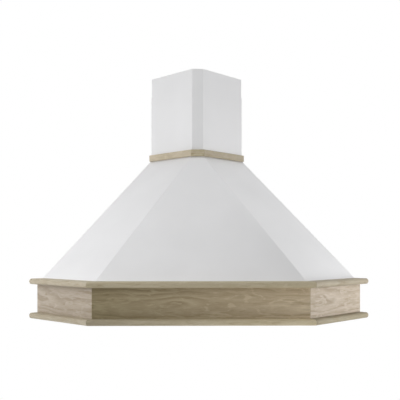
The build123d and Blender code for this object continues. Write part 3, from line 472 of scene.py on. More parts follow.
@dataclass(frozen=True)
class BrushedMetal(Finish):
    """Rolled or brushed metal: fine straight scratches that stretch the reflections across them."""

    colour: str
    worn: str
    scratch: Streak         # real scratches are 0.1 mm wide; drawn wider so that they show
    rough_low: float
    rough_high: float

    def surface(self, tree: Tree) -> dict[str, object]:
        """Draw the scratches into tone, gloss and relief.

        Args:
            tree: The material's node tree.

        Returns:
            Tone, gloss and relief from the scratches, metal all over.
        """
        place = add_node(tree, "ShaderNodeTexCoord", out="Object")
        scratches = self.scratch.noise(tree, place)
        tone = add_node(tree, "ShaderNodeValToRGB", {"Fac": scratches},
                        stops=((0.3, linear(self.worn)), (0.7, linear(self.colour))))
        rough = add_node(tree, "ShaderNodeMapRange",
                         {"Value": scratches, "To Min": self.rough_low, "To Max": self.rough_high})
        bump = add_node(tree, "ShaderNodeBump",
                        {"Height": scratches, "Strength": 0.15, "Distance": 0.03 * MM})
        return {"Base Color": tone, "Roughness": rough, "Normal": bump, "Metallic": 1.0}


# Metals and plastics give a colour and that of their patches, the sizes of patches and grain in millimetres,
# the roughness and the relief. Brushed metals give two colours, their scratches and a range of roughness.
FINISHES: dict[str, Finish] = {
    # Satin white with a faint peel, on the canopy and both sleeves
    "white_paint": PowderCoat("white_powder_coat"),
    # Grey spangled sheet, seen from behind and through the filters
    "galvanised_steel": GalvanisedSheet("galvanised_sheet"),
    # A soft long gleam over the recessed panel
    "stainless_steel": BrushedMetal("brushed_stainless", "#CFCFCD", "#C3C3C1",
                                    Streak(140.0, 0.6, detail=3.0), 0.27, 0.38),
    # Paler and duller than the panel
    "filter_aluminium": BrushedMetal("rolled_aluminium", "#D3D5D7", "#C2C4C7",
                                     Streak(60.0, 0.7, detail=3.0), 0.3, 0.45),
    # Bright and a little warm
    "handle_wire": CastMetal("nickel_plated_wire", "#D0D0CE", "#C4C4C2", 12.0, 0.8, 0.2, 0.01),
    # Charcoal with a dull sheen
    "blower_plastic": MouldedPlastic("black_polypropylene", "#2B2C2E", "#323335", 80.0, 1.2, 0.48, 0.04),
    # Mid grey, so that the blades read against the scroll
    "wheel_plastic": MouldedPlastic("grey_polyamide", "#5A5C60", "#626469", 40.0, 1.0, 0.45, 0.04),
    # Pale grey with a sandy skin
    "motor_case": CastMetal("die_cast_aluminium", "#B3B5B7", "#A2A4A6", 20.0, 1.6, 0.45, 0.1),
    # Brown-grey stacked sheets
    "motor_iron": CastMetal("laminated_iron", "#6B6662", "#59544F", 10.0, 0.8, 0.5, 0.05),
    # Mirror-like with a cool tone
    "bearing_steel": CastMetal("ground_steel", "#BFC0C4", "#B2B3B8", 10.0, 0.6, 0.22, 0.01),
    # Black with a fine mould grain
    "collar_plastic": MouldedPlastic("black_abs", "#232324", "#29292A", 60.0, 1.0, 0.5, 0.04),
    # Deep gloss that mirrors the floor
    "fascia_plastic": MouldedPlastic("gloss_black_abs", "#141415", "#18181A", 50.0, 2.5, 0.16, 0.01),
    # Pale satin caps that stand out from the fascia
    "button_plastic": MouldedPlastic("satin_grey_abs", "#C4C5C6", "#BABBBD", 12.0, 0.7, 0.34, 0.02),
    # Green lacquer over glass fibre
    "board_laminate": MouldedPlastic("green_solder_mask", "#1F5A36", "#255F3C", 15.0, 0.8, 0.35, 0.03),
    # A bright ring round each lamp
    "lamp_chrome": CastMetal("satin_chrome", "#D8D8D8", "#CFCFD0", 20.0, 0.8, 0.2, 0.01),
    # Milky in the middle, sharp glints on the rings
    "lamp_glass": FrostedGlass("pressed_glass"),
    # Dull black rubber
    "lead_sheath": MouldedPlastic("rubber_sheath", "#1D1D1E", "#242425", 20.0, 0.9, 0.6, 0.05),
    # Bluish bright zinc
    "screw_steel": CastMetal("zinc_plated_steel", "#B9BCC0", "#A8ABB0", 6.0, 0.7, 0.33, 0.02),
}


def only(piece: Piece) -> None:
    """Select one object and nothing else.

    Args:
        piece: The object, which becomes the active one.
    """
    bpy.ops.object.select_all(action="DESELECT")
    piece.select_set(True)
    bpy.context.view_layer.objects.active = piece


@contextmanager
def editing(piece: Piece, element: Element = Element.FACE,
            wanted: Callable[..., bool] = lambda found: True) -> Iterator[None]:
    """Hold a piece in edit mode with some or all of its faces or edges selected.

    Args:
        piece: The mesh object to edit.
        element: Whether faces or edges are selected.
        wanted: Says whether a face or edge is one of them.

    Yields:
        Nothing; edit mode closes at the end.
    """
    only(piece)
    bpy.ops.object.mode_set(mode="EDIT")
    bpy.ops.mesh.select_mode(type=element.value)
    bpy.ops.mesh.select_all(action="DESELECT")
    mesh = bmesh.from_edit_mesh(piece.data)
    candidates = mesh.faces if element is Element.FACE else mesh.edges
    for candidate in [found for found in candidates if wanted(found)]:
        candidate.select_set(True)
    mesh.select_flush_mode()
    bmesh.update_edit_mesh(piece.data)
    yield
    bpy.ops.object.mode_set(mode="OBJECT")


def point_outwards(piece: Piece) -> None:
    """Turn all of a piece's faces outwards.

    Args:
        piece: The object to change, which is closed.
    """
    with editing(piece):
        bpy.ops.mesh.normals_make_consistent(inside=False)


def finish_with(piece: Piece, kind: str, **settings: object) -> None:
    """Add a modifier to a piece and apply it.

    Args:
        piece: The object to change.
        kind: The modifier's type name.
        **settings: The modifier's properties.
    """
    only(piece)
    modifier = piece.modifiers.new(kind.lower(), kind)
    for name, value in settings.items():
        setattr(modifier, name, value)
    bpy.ops.object.modifier_apply(modifier=modifier.name)


def ease_edges(piece: Piece, arris: float) -> None:
    """Put a small round on a piece's sharp edges.

    Args:
        piece: The object to change.
        arris: The width of the rounds.
    """
    finish_with(piece, "BEVEL", width=arris, segments=2, limit_method="ANGLE", angle_limit=ARRIS_ANGLE,
                miter_outer="MITER_ARC", use_clamp_overlap=True, loop_slide=False)


def smooth(piece: Piece) -> None:
    """Shade a piece smooth across its rounds and flat on its flats.

    Args:
        piece: The object to change.
    """
    only(piece)
    bpy.ops.object.shade_smooth_by_angle(angle=SMOOTH_ANGLE)
    finish_with(piece, "WEIGHTED_NORMAL", keep_sharp=True)


def set_in_place(piece: Piece) -> None:
    """Put a piece's place, turn and scale into its mesh."""
    only(piece)
    bpy.ops.object.transform_apply(location=True, rotation=True, scale=True)


def started(name: str, stretch: Sequence[float] = (1.0, 1.0, 1.0)) -> Piece:
    """Take up the primitive that was just added.

    Args:
        name: The new piece's name.
        stretch: How far it is stretched along each axis.

    Returns:
        The piece, with its place and size in its mesh.
    """
    piece = bpy.context.active_object
    piece.name = name
    piece.scale = stretch
    set_in_place(piece)
    return piece


def copied(piece: Piece, name: str, placing: Matrix | None = None) -> Piece:
    """Copy a piece, with a mesh of its own.

    Args:
        piece: The object to copy.
        name: The copy's name.
        placing: How the copy is turned and moved, or None to leave it where the piece is.

    Returns:
        The copy, with its place in its mesh.
    """
    copy = bpy.data.objects.new(name, piece.data.copy())
    bpy.context.scene.collection.objects.link(copy)
    if placing is not None:
        copy.data.transform(placing)
    return copy


def join(pieces: Sequence[Piece], name: str) -> Piece:
    """Join pieces into one, with its place in its mesh.

    Args:
        pieces: The objects to join.
        name: The joined piece's name.

    Returns:
        The joined piece.
    """
    only(pieces[0])
    for piece in pieces[1:]:
        piece.select_set(True)
    if len(pieces) > 1:
        bpy.ops.object.join()
    pieces[0].name = name
    set_in_place(pieces[0])
    return pieces[0]


def turned(name: str, centre: Vector, profile: Sequence[tuple[float, float]], sides: int = 64) -> Piece:
    """Model an upright round piece by extruding and scaling a disc from step to step.

    Args:
        name: The piece's name.
        centre: A point on its axis.
        profile: The radius and height of each step, from one end to the other.
        sides: How many flats go round.

    Returns:
        The closed piece.
    """
    radius, height = profile[0]
    bpy.ops.mesh.primitive_circle_add(vertices=sides, radius=radius, fill_type="NGON",
                                      location=(centre.x, centre.y, height))
    piece = started(name)
    with editing(piece):
        for next_radius, next_height in profile[1:]:
            step = (0.0, 0.0, next_height - height)
            grow = next_radius / radius
            bpy.ops.mesh.extrude_region_move(TRANSFORM_OT_translate={"value": step})
            bpy.ops.transform.resize(value=(grow, grow, 1.0),
                                     center_override=(centre.x, centre.y, next_height))
            radius, height = next_radius, next_height
    point_outwards(piece)
    return piece


def is_square_on(edge: bmesh.types.BMEdge) -> bool:
    """Say whether an edge runs along the x or the y axis."""
    step = edge.verts[1].co - edge.verts[0].co
    return min(abs(step.x), abs(step.y)) < SQUARE_SLACK * max(abs(step.x), abs(step.y))


@dataclass
class PackedHood:
    """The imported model: its nodes, the body that each one rides on and its material slot."""

    nodes: dict[str, Piece]
    body: dict[str, str]
    slot: dict[str, str]

    @classmethod
    def load(cls) -> "PackedHood":
        """Load the frame and read its record.

        Returns:
            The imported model.
        """
        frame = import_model()
        record = frame["record"]
        bodies = record["behaviour"]["bodies"]
        return cls(
            nodes=frame["nodes"],
            body={node: body for body, members in bodies.items() for node in members},
            slot={part["node"]: part["material_slot"] for part in record["subparts"]},
        )

    def extent(self, node: str, turn: float = 0.0) -> tuple[Vector, Vector]:
        """Measure a node.

        Args:
            node: The node.
            turn: How far the axes that it is measured along are turned about the upright one.

        Returns:
            Its lowest and highest corners along those axes.
        """
        square_up = Matrix.Rotation(-turn, 3, "Z")
        axes = list(zip(*(square_up @ point.co for point in self.nodes[node].data.vertices)))
        return Vector([min(axis) for axis in axes]), Vector([max(axis) for axis in axes])

    def copy(self, node: str, name: str) -> Piece:
        """Copy a node's mesh into a new object, with its loose triangles joined into flat faces.

        Args:
            node: The node to copy.
            name: The new piece's name.

        Returns:
            The new object, which rides on nothing yet.
        """
        piece = copied(self.nodes[node], name)
        with editing(piece):
            bpy.ops.mesh.remove_doubles(threshold=MERGE_DISTANCE)
            bpy.ops.mesh.dissolve_limited(angle_limit=FLAT_ANGLE)
            bpy.ops.mesh.vert_connect_concave()
        return piece

    def stand_for(self, piece: Piece, node: str, finish: Finish | None = None) -> None:
        """Let a piece stand for a node, with the node's body and slot.

        Args:
            piece: The new piece.
            node: The node that it replaces.
            finish: Its finish, or None for its slot's own.
        """
        self.add(piece, self.body[node], self.slot[node], finish)
        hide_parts(node)

    def add(self, piece: Piece, body: str, slot: str, finish: Finish | None = None) -> None:
        """Fasten a new piece to a body and dress it.

        Args:
            piece: The new piece.
            body: The body that it rides on.
            slot: Its material slot in the record.
            finish: Its finish, or None for the slot's own.
        """
        piece.data.materials.clear()
        piece.data.materials.append((finish or FINISHES[slot]).material())
        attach(piece, body)
        log.info("%s rides on %s in %s, %d faces", piece.name, body, slot, len(piece.data.polygons))

    def dress(self, node: str) -> None:
        """Give a node that is shown as it is its slot's finish.

        Args:
            node: The node.
        """
        self.nodes[node].data.materials.clear()
        self.nodes[node].data.materials.append(FINISHES[self.slot[node]].material())
        log.info("%s shows as packed in %s", node, self.slot[node])


@dataclass
class SubAssembly(ABC):
    """Pieces that are made together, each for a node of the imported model, and nodes that show as packed."""

    hood: PackedHood
    pieces: dict[str, Piece] = field(default_factory=dict, init=False)
    as_packed: tuple[str, ...] = ()     # nodes that show as they are

    @abstractmethod
    def build(self) -> None:
        """Model the pieces and keep each by the node that it stands for."""

    def dress(self) -> None:
        """Fasten each piece to its node's body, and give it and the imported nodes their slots' finishes."""
        for node, piece in self.pieces.items():
            self.hood.stand_for(piece, node)
        for node in self.as_packed:
            self.hood.dress(node)

    def refine(self, node: str, name: str, arris: float = 0.0) -> None:
        """Copy a node with its rounds smooth and its sharp edges eased.

        Args:
            node: The node to copy.
            name: The new piece's name.
            arris: The width of the eased edges, or 0 where the node has its own rounds.
        """
        piece = self.hood.copy(node, name)
        if arris > 0:
            ease_edges(piece, arris)
        smooth(piece)
        self.pieces[node] = piece


@dataclass
class OakSkirt(SubAssembly):
    """The oak boards: two lips and a frieze round the canopy's foot, and a band round the chimney's foot."""

    front_stock: dict[str, Stock] = field(default_factory=lambda: {
        "lower_lip": Stock.OLIVE, "frieze": Stock.HONEY,
        "upper_lip": Stock.OLIVE, "chimney_trim": Stock.OLIVE})
    side_stock: dict[str, Stock] = field(default_factory=lambda: {
        "lower_lip": Stock.GREY, "frieze": Stock.PALE,
        "upper_lip": Stock.GREY, "chimney_trim": Stock.GREY})
    # Painted light and shade: how far each board's tone is brightened or darkened at its left and right ends,
    # to stand in for the uneven light on it
    shades: dict[str, tuple[float, float]] = field(default_factory=lambda: {
        "lower_lip_left": (0.96, 0.96), "lower_lip_front": (0.6, 1.24), "lower_lip_right": (0.76, 0.76),
        "frieze_left": (0.87, 0.87), "frieze_front": (0.49, 1.12), "frieze_right": (0.97, 0.97),
        "upper_lip_front": (0.78, 0.97), "upper_lip_right": (0.88, 0.88),
        "chimney_trim_left": (1.27, 1.27), "chimney_trim_front": (0.89, 0.89)})
    # How much yellower a board is than its stock at those ends, along with its painted light and shade
    tans: dict[str, tuple[float, float]] = field(default_factory=lambda: {
        "frieze_front": (0.2, 0.0), "lower_lip_right": (0.08, 0.08)})
    arris: float = 0.9 * MM
    plate_edge: float = 0.4 * MM    # on the steel plates behind the mitres
    pith_behind: float = 55 * MM    # the log's centre behind each board's face
    pith_above: float = 8 * MM      # and above or below its middle, turn about
    log_step: float = 1.37          # length of log between one board and the next

    def boards(self) -> list[tuple[str, Run]]:
        """List every board's course and run, from the lower lip up."""
        return [(course, run) for course in self.front_stock for run in Run]

    def build(self) -> None:
        """Ease every board's edges and those of the corner plates."""
        for course, run in self.boards():
            self.refine(f"{course}_{run.word}", f"{course}_{run.word}_board", self.arris)
        self.refine("frieze_brackets", "corner_plates", self.plate_edge)

    def oak(self, number: int, course: str, run: Run) -> RawOak:
        """Cut a board from its own stretch of log.

        Args:
            number: The board's place in the order of cutting.
            course: The course that it is in.
            run: The way that it runs.

        Returns:
            The board's finish.
        """
        node = f"{course}_{run.word}"
        low, high = self.hood.extent(node, run.value)
        middle = (low.z + high.z) / 2
        # Pale bare wood, dry to the eye, with a ring figure that no other board shares
        return RawOak(
            f"raw_oak_{node}",
            run=run,
            stock=(self.front_stock if run is Run.FRONT else self.side_stock)[course],
            pith=(low.y + self.pith_behind, middle + self.pith_above * (-1) ** number),
            seed=number * self.log_step,
            reach=(low.x, high.x),
            # painted light and shade at the board's two ends, and their yellowing
            shade=self.shades.get(node, (1.0, 1.0)),
            tan=self.tans.get(node, (0.0, 0.0)),
        )

    def dress(self) -> None:
        """Give each board its own cut of oak."""
        for number, (course, run) in enumerate(self.boards(), start=1):
            node = f"{course}_{run.word}"
            self.hood.stand_for(self.pieces[node], node, self.oak(number, course, run))
        self.hood.stand_for(self.pieces["frieze_brackets"], "frieze_brackets")


@dataclass
class PaintedShell(SubAssembly):
    """The canopy with its rolled folds, and the two chimney sleeves."""

    fold: float = 3.0 * MM
    fold_segments: int = 5
    sheet_edge: float = 0.35 * MM
    fold_length: float = 400 * MM   # only the folds are longer than this
    fold_place: float = 100 * MM    # and at least this much further forwards than sideways

    def is_fold(self, edge: bmesh.types.BMEdge) -> bool:
        """Say whether an edge is a fold between the canopy's front and a side.

        Args:
            edge: An edge of the canopy.

        Returns:
            True on the outer and inner edge of both folds.
        """
        start, end = (point.co for point in edge.verts)
        forwards = abs(start.y) - abs(start.x)
        return abs(start.z - end.z) > self.fold_length and forwards > self.fold_place

    def build(self) -> None:
        """Roll the canopy's folds and ease the sheet's edges."""
        canopy = self.hood.copy("canopy_shell", "canopy")
        with editing(canopy, Element.EDGE, self.is_fold):
            bpy.ops.mesh.bevel(offset=self.fold, segments=self.fold_segments, affect="EDGES")
        ease_edges(canopy, self.sheet_edge)
        smooth(canopy)
        self.pieces["canopy_shell"] = canopy
        for sleeve in ("lower_chimney", "upper_chimney"):
            self.refine(sleeve, f"{sleeve}_sleeve", self.sheet_edge)


@dataclass
class WallFixings(SubAssembly):
    """What hangs the hood in the corner: a rail on each wall and a bracket for each chimney sleeve."""

    rail_edge: float = 0.5 * MM
    bracket_edge: float = 0.4 * MM

    def build(self) -> None:
        """Ease the sheared edges of the rails and brackets."""
        for side in Side:
            self.refine(f"{side.value}_wall_rail", f"{side.value}_rail", self.rail_edge)
        for level in ("lower", "upper"):
            self.refine(f"{level}_chimney_bracket", f"{level}_bracket", self.bracket_edge)


@dataclass
class BasePanel(SubAssembly):
    """The recessed panel under the hood, with the hinge tabs and spring clips of its filters."""

    panel_edge: float = 0.4 * MM
    tab_edge: float = 0.3 * MM
    clip_edge: float = 0.2 * MM

    def build(self) -> None:
        """Ease the panel's folds and cut edges."""
        self.refine("base_panel", "recessed_panel", self.panel_edge)
        self.refine("filter_hinge_brackets", "hinge_tabs", self.tab_edge)
        self.refine("filter_spring_clips", "spring_clips", self.clip_edge)


@dataclass
class AirBox(SubAssembly):
    """The plenum over the filters, with a stiffening panel pressed out of each large wall."""

    edge: float = 0.4 * MM
    wall_area: float = 0.06         # walls larger than this get a panel, in square metres
    border: float = 32 * MM         # plain sheet round each panel
    slope: float = 3 * MM           # width of the panel's sloping edge
    press: float = 3 * MM           # how far it is pressed out
    middle: Place = (0.0, -0.4, 0.23)   # a point inside the box

    def is_wall(self, face: bmesh.types.BMFace, outer: bool) -> bool:
        """Say whether a face is the outer or inner side of a large upright or sloping wall.

        Args:
            face: A face of the box.
            outer: True for the outer side.

        Returns:
            True on the wanted side of a wall.
        """
        away = (face.calc_center_median() - Vector(self.middle)).dot(face.normal) > 0
        return face.calc_area() > self.wall_area and abs(face.normal.z) < STEEP and away is outer

    def build(self) -> None:
        """Press the panels, both faces of the sheet alike."""
        box = self.hood.copy("plenum_box", "air_box")
        for outer in (True, False):
            with editing(box, Element.FACE, lambda face: self.is_wall(face, outer)):
                bpy.ops.mesh.inset(thickness=self.border, use_individual=True)
                bpy.ops.mesh.inset(thickness=self.slope, depth=self.press if outer else -self.press,
                                   use_individual=True)
        ease_edges(box, self.edge)
        smooth(box)
        self.pieces["plenum_box"] = box


@dataclass
class Blower(SubAssembly):
    """The two halves of the scroll, the fan wheel and the motor on its three arms."""

    scroll_edge: float = 0.4 * MM
    arm_edge: float = 0.4 * MM
    case_edge: float = 1.0 * MM
    as_packed: tuple[str, ...] = ("stator", "rotor", "motor_bearings", "motor_shaft")

    def build(self) -> None:
        """Ease the mouldings and castings, and smooth the wheel's blades."""
        for side in Side:
            self.refine(f"blower_housing_{side.value}", f"{side.value}_scroll", self.scroll_edge)
        self.refine("impeller", "fan_wheel")
        self.refine("motor_mount", "motor_arms", self.arm_edge)
        self.refine("motor_body", "motor_shell", self.case_edge)


@dataclass
class DuctCollar(SubAssembly):
    """The spigot for the duct, with two backdraught flaps on a pin."""

    collar_edge: float = 0.5 * MM
    flap_edge: float = 0.3 * MM
    as_packed: tuple[str, ...] = ("flap_pin",)

    def build(self) -> None:
        """Ease the collar's and the flaps' edges."""
        self.refine("outlet_collar", "duct_spigot", self.collar_edge)
        for end in ("front", "rear"):
            self.refine(f"{end}_flap", f"{end}_damper_leaf", self.flap_edge)


@dataclass
class Wiring(SubAssembly):
    """The motor's capacitor and lead, and the gland for the supply."""

    can_edge: float = 1.0 * MM
    gland_edge: float = 0.5 * MM

    def build(self) -> None:
        """Round the can and the gland, and smooth the lead."""
        self.refine("capacitor", "run_capacitor", self.can_edge)
        self.refine("mains_gland", "cable_gland", self.gland_edge)
        self.refine("motor_lead", "motor_cable")


@dataclass
class Screws(SubAssembly):
    """Pan-head screws with a domed head and a cross recess."""

    head_radius: float = 4.0 * MM
    head_slack: float = 0.1         # how far a head's area may be from its disc's, as a share of it
    dome: tuple[tuple[float, float], ...] = ((0.9 * MM, 0.45 * MM), (1.1 * MM, 0.2 * MM))   # inset and rise
    slot_width: float = 0.9 * MM
    slot_reach: float = 1.7 * MM
    slot_depth: float = 1.5 * MM

    def is_head(self, face: bmesh.types.BMFace) -> bool:
        """Say whether a face is the flat top of a screw head, by its area."""
        disc = math.pi * self.head_radius ** 2
        return abs(face.calc_area() - disc) < self.head_slack * disc

    def cross(self) -> Piece:
        """Model one cross-shaped cutter about the origin.

        Returns:
            The cutter, to be copied to each head.
        """
        bpy.ops.mesh.primitive_cube_add(size=self.slot_width)
        cutter = started("cross", (1.0, 1.0, 2 * self.slot_depth / self.slot_width))
        with editing(cutter, Element.FACE, lambda face: abs(face.normal.z) < STEEP):
            bpy.ops.mesh.extrude_faces_move(TRANSFORM_OT_shrink_fatten={"value": self.slot_reach})
        return cutter

    def domed(self, node: str) -> tuple[Piece, list[Matrix]]:
        """Copy a set of screws and dome their heads.

        Args:
            node: The set's node.

        Returns:
            The set, and the place and turn of the top of each head.
        """
        screws = self.hood.copy(node, f"{node}_set")
        rise = sum(step for _, step in self.dome)
        tops = []
        with editing(screws, Element.FACE, self.is_head):
            mesh = bmesh.from_edit_mesh(screws.data)
            for face in [found for found in mesh.faces if found.select]:
                turn = face.normal.to_track_quat("Z", "Y").to_matrix().to_4x4()
                tops.append(Matrix.Translation(face.calc_center_median() + face.normal * rise) @ turn)
            for inset, step in self.dome:
                bpy.ops.mesh.inset(thickness=inset, depth=step, use_individual=True)
        return screws, tops

    def build(self) -> None:
        """Dome every head and cut its recess."""
        cross = self.cross()
        for node in ("sheet_screws", "wood_screws"):
            screws, tops = self.domed(node)
            crosses = join([copied(cross, "head_cross", top) for top in tops], "crosses")
            finish_with(screws, "BOOLEAN", operation="DIFFERENCE", solver="EXACT", object=crosses)
            bpy.data.objects.remove(crosses)
            smooth(screws)
            self.pieces[node] = screws
        bpy.data.objects.remove(cross)


@dataclass
class GreaseFilters(SubAssembly):
    """Two lift-out filters: each has an aluminium frame, two layers of expanded mesh and a wire bail."""

    diamond: tuple[float, float] = (12.0 * MM, 6.0 * MM)    # long and short way of the expanded mesh
    strand: float = 1.3 * MM
    layer_gap: float = 2.6 * MM
    frame_edge: float = 0.8 * MM

    def lattice(self, width: float, length: float) -> Piece:
        """Model one layer of diamond mesh about the origin.

        Args:
            width: The layer's size along x.
            length: Its size along y.

        Returns:
            The layer, to be copied twice into each filter.
        """
        bpy.ops.mesh.primitive_grid_add(x_subdivisions=round(width / self.diamond[0]),
                                        y_subdivisions=round(length / self.diamond[1]), size=1.0)
        sheet = started("lattice", (width, length, 1.0))
        with editing(sheet):
            bpy.ops.mesh.poke()
        with editing(sheet, Element.EDGE, lambda edge: not edge.is_boundary and is_square_on(edge)):
            bpy.ops.mesh.dissolve_edges(use_verts=False)
        finish_with(sheet, "WIREFRAME", thickness=self.strand, use_even_offset=False, use_replace=True)
        point_outwards(sheet)
        return sheet

    def build(self) -> None:
        """Make the frames, the mesh and the bails."""
        low, high = self.hood.extent(f"{Side.LEFT.value}_filter_mesh")
        stagger = Vector((*self.diamond, 0.0)) / 4      # how far one layer is shifted from the other
        room = high - low - stagger
        layer = self.lattice(room.x - 2 * self.strand, room.y - 2 * self.strand)
        apart = (stagger + Vector((0.0, 0.0, self.layer_gap))) / 2
        for word in (side.value for side in Side):
            self.refine(f"{word}_filter_frame", f"{word}_filter_surround", self.frame_edge)
            self.refine(f"{word}_filter_handle", f"{word}_filter_bail")
            middle = sum(self.hood.extent(f"{word}_filter_mesh"), Vector()) / 2
            layers = join([copied(layer, "mesh_layer", Matrix.Translation(middle + shift))
                           for shift in (-apart, apart)], f"{word}_filter_layers")
            smooth(layers)
            self.pieces[f"{word}_filter_mesh"] = layers
        bpy.data.objects.remove(layer)


@dataclass
class ControlPanel(SubAssembly):
    """The push-button fascia under the hood's front, its dished buttons and their marks."""

    marks: dict[str, Mark] = field(default_factory=lambda: {
        "off": Mark.RING, "low": Mark.ONE_BAR, "medium": Mark.TWO_BARS, "high": Mark.THREE_BARS,
        "light": Mark.DISC})
    fascia_edge: float = 0.7 * MM
    box_edge: float = 0.6 * MM
    cap_radius: float = 7.0 * MM
    cap_height: float = 4.0 * MM
    shoulder_radius: float = 9.0 * MM
    shoulder_height: float = 2.0 * MM
    stem_radius: float = 3.0 * MM
    edge_steps: int = 4             # faces round the cap's edge
    edge_radius: float = 0.8 * MM
    dish_radius: float = 5.4 * MM
    dish_fall: float = 0.45 * MM
    dish_steps: int = 5
    bar_size: tuple[float, float] = (0.8 * MM, 4.2 * MM)
    bar_round: float = 0.32 * MM
    bar_steps: int = 4              # faces round each of a bar's corners
    bar_pitch: float = 1.7 * MM
    mark_height: float = 0.2 * MM
    mark_sink: float = 0.1 * MM
    mark_sides: int = 32            # flats round a ring or a disc
    ring_radius: float = 2.4 * MM
    ring_width: float = 0.7 * MM
    as_packed: tuple[str, ...] = ("switch_board",)

    def face(self, name: str) -> Vector:
        """Find the middle of a button's face, which looks down."""
        low, high = self.hood.extent(f"button_{name}")
        return Vector(((low.x + high.x) / 2, (low.y + high.y) / 2, low.z))

    def cap(self) -> Piece:
        """Turn a button: a stem, a shoulder behind the fascia and a cap with a rounded edge and a dish.

        Returns:
            The button with its face at the origin, to be copied to each place.
        """
        low, high = self.hood.extent("button_off")
        seat = self.cap_height
        profile = [(self.stem_radius, high.z - low.z), (self.stem_radius, seat + self.shoulder_height),
                   (self.shoulder_radius, seat + self.shoulder_height), (self.shoulder_radius, seat),
                   (self.cap_radius, seat)]
        for step in range(self.edge_steps + 1):
            turn = step / self.edge_steps * math.pi / 2
            profile.append((self.cap_radius - self.edge_radius * (1 - math.cos(turn)),
                            self.edge_radius * (1 - math.sin(turn))))
        for step in range(self.dish_steps):
            out = 1 - step / self.dish_steps
            profile.append((self.dish_radius * out, self.dish_fall * (1 - out ** 2)))
        button = turned("button", Vector(), profile)
        smooth(button)
        return button

    def bar(self) -> Piece:
        """Model one round-ended bar of a speed mark.

        Returns:
            The bar with the middle of its upper face at the origin, to be copied.
        """
        bpy.ops.mesh.primitive_cube_add(size=1.0, location=(0.0, 0.0, -self.mark_height / 2))
        bar = started("bar", (*self.bar_size, self.mark_height))
        with editing(bar, Element.EDGE, lambda edge: edge.verts[0].co.z != edge.verts[1].co.z):
            bpy.ops.mesh.bevel(offset=self.bar_round, segments=self.bar_steps, affect="EDGES")
        return bar

    def bars(self, name: str, bar: Piece, count: int, centre: Vector) -> Piece:
        """Lay a speed mark of upright bars.

        Args:
            name: The mark's name.
            bar: The bar to copy.
            count: How many bars.
            centre: Middle of the mark, on its upper face.

        Returns:
            The mark.
        """
        across = [(number - (count - 1) / 2) * self.bar_pitch for number in range(count)]
        return join([copied(bar, name, Matrix.Translation(centre + Vector((x, 0.0, 0.0)))) for x in across],
                    name)

    def disc(self, name: str, hollow: bool, centre: Vector) -> Piece:
        """Model a round mark.

        Args:
            name: The mark's name.
            hollow: True for a ring, False for a full disc.
            centre: Middle of the mark, on its upper face.

        Returns:
            The mark.
        """
        bpy.ops.mesh.primitive_circle_add(vertices=self.mark_sides, radius=self.ring_radius,
                                          fill_type="NGON", location=centre)
        mark = started(name)
        with editing(mark):
            if hollow:
                bpy.ops.mesh.inset(thickness=self.ring_width)
                bpy.ops.mesh.delete(type="FACE")
                bpy.ops.mesh.select_all(action="SELECT")
            bpy.ops.mesh.extrude_region_move(TRANSFORM_OT_translate={"value": (0.0, 0.0, -self.mark_height)})
        point_outwards(mark)
        return mark

    def build(self) -> None:
        """Make the fascia, the box behind it and the buttons."""
        self.refine("control_fascia", "control_plate", self.fascia_edge)
        self.refine("control_box", "control_housing", self.box_edge)
        button = self.cap()
        for name in self.marks:
            self.pieces[f"button_{name}"] = copied(button, f"{name}_button_cap",
                                                   Matrix.Translation(self.face(name)))
        bpy.data.objects.remove(button)

    def dress(self) -> None:
        """Dress the pieces and mark the buttons."""
        super().dress()
        bar = self.bar()
        for name, kind in self.marks.items():
            centre = self.face(name) + Vector((0.0, 0.0, self.dish_fall + self.mark_sink))
            if kind in (Mark.RING, Mark.DISC):
                mark = self.disc(f"{name}_mark", kind is Mark.RING, centre)
            else:
                mark = self.bars(f"{name}_mark", bar, kind.value, centre)
            self.hood.add(mark, f"{name}_button", "fascia_plastic")
        bpy.data.objects.remove(bar)


@dataclass
class SpotLamps(SubAssembly):
    """Two recessed lamps: a satin bezel and a lens pressed in rings."""

    bezel_edge: float = 0.6 * MM
    lens_radius: float = 27.7 * MM
    lens_rim: float = 1.6 * MM
    ring_count: int = 6
    ring_fall: float = 1.1 * MM     # depth of the valleys between the rings
    ring_steps: int = 6             # faces across each ring
    middle: float = 2.0 * MM

    def lens(self) -> Piece:
        """Turn a lens whose face rises and falls in rings.

        Returns:
            The left lamp's lens, to be copied across.
        """
        low, high = self.hood.extent("lamp_lenses")
        centre = Vector((low.x + self.lens_radius, (low.y + high.y) / 2, low.z))
        face_radius = self.lens_radius - self.lens_rim
        profile = [(self.lens_radius, high.z), (self.lens_radius, low.z), (face_radius, low.z)]
        for step in range(1, self.ring_count * self.ring_steps + 1):
            wave = step / self.ring_steps
            profile.append((self.middle + (face_radius - self.middle) * (1 - wave / self.ring_count),
                            low.z + self.ring_fall * (1 - math.cos(2 * math.pi * wave)) / 2))
        return turned("left_lens", centre, profile)

    def build(self) -> None:
        """Ease the bezels and turn the lenses."""
        self.refine("lamp_housings", "lamp_cans", self.bezel_edge)
        low, high = self.hood.extent("lamp_lenses")
        left = self.lens()
        across = Vector((high.x - low.x - 2 * self.lens_radius, 0.0, 0.0))
        lenses = join([left, copied(left, "right_lens", Matrix.Translation(across))], "ringed_lenses")
        smooth(lenses)
        self.pieces["lamp_lenses"] = lenses


@dataclass(frozen=True)
class SoftBox:
    """A square soft light."""

    name: str
    place: Place
    aim: Place
    width: float
    watts: float

    def hang(self) -> None:
        """Hang the light so that it faces its aim."""
        data = bpy.data.lights.new(self.name, "AREA")
        data.shape = "SQUARE"
        data.size = self.width
        data.energy = self.watts
        lamp = bpy.data.objects.new(self.name, data)
        bpy.context.scene.collection.objects.link(lamp)
        lamp.visible_camera = False
        lamp.location = self.place
        lamp.rotation_euler = (Vector(self.aim) - Vector(self.place)).to_track_quat("-Z", "Y").to_euler()


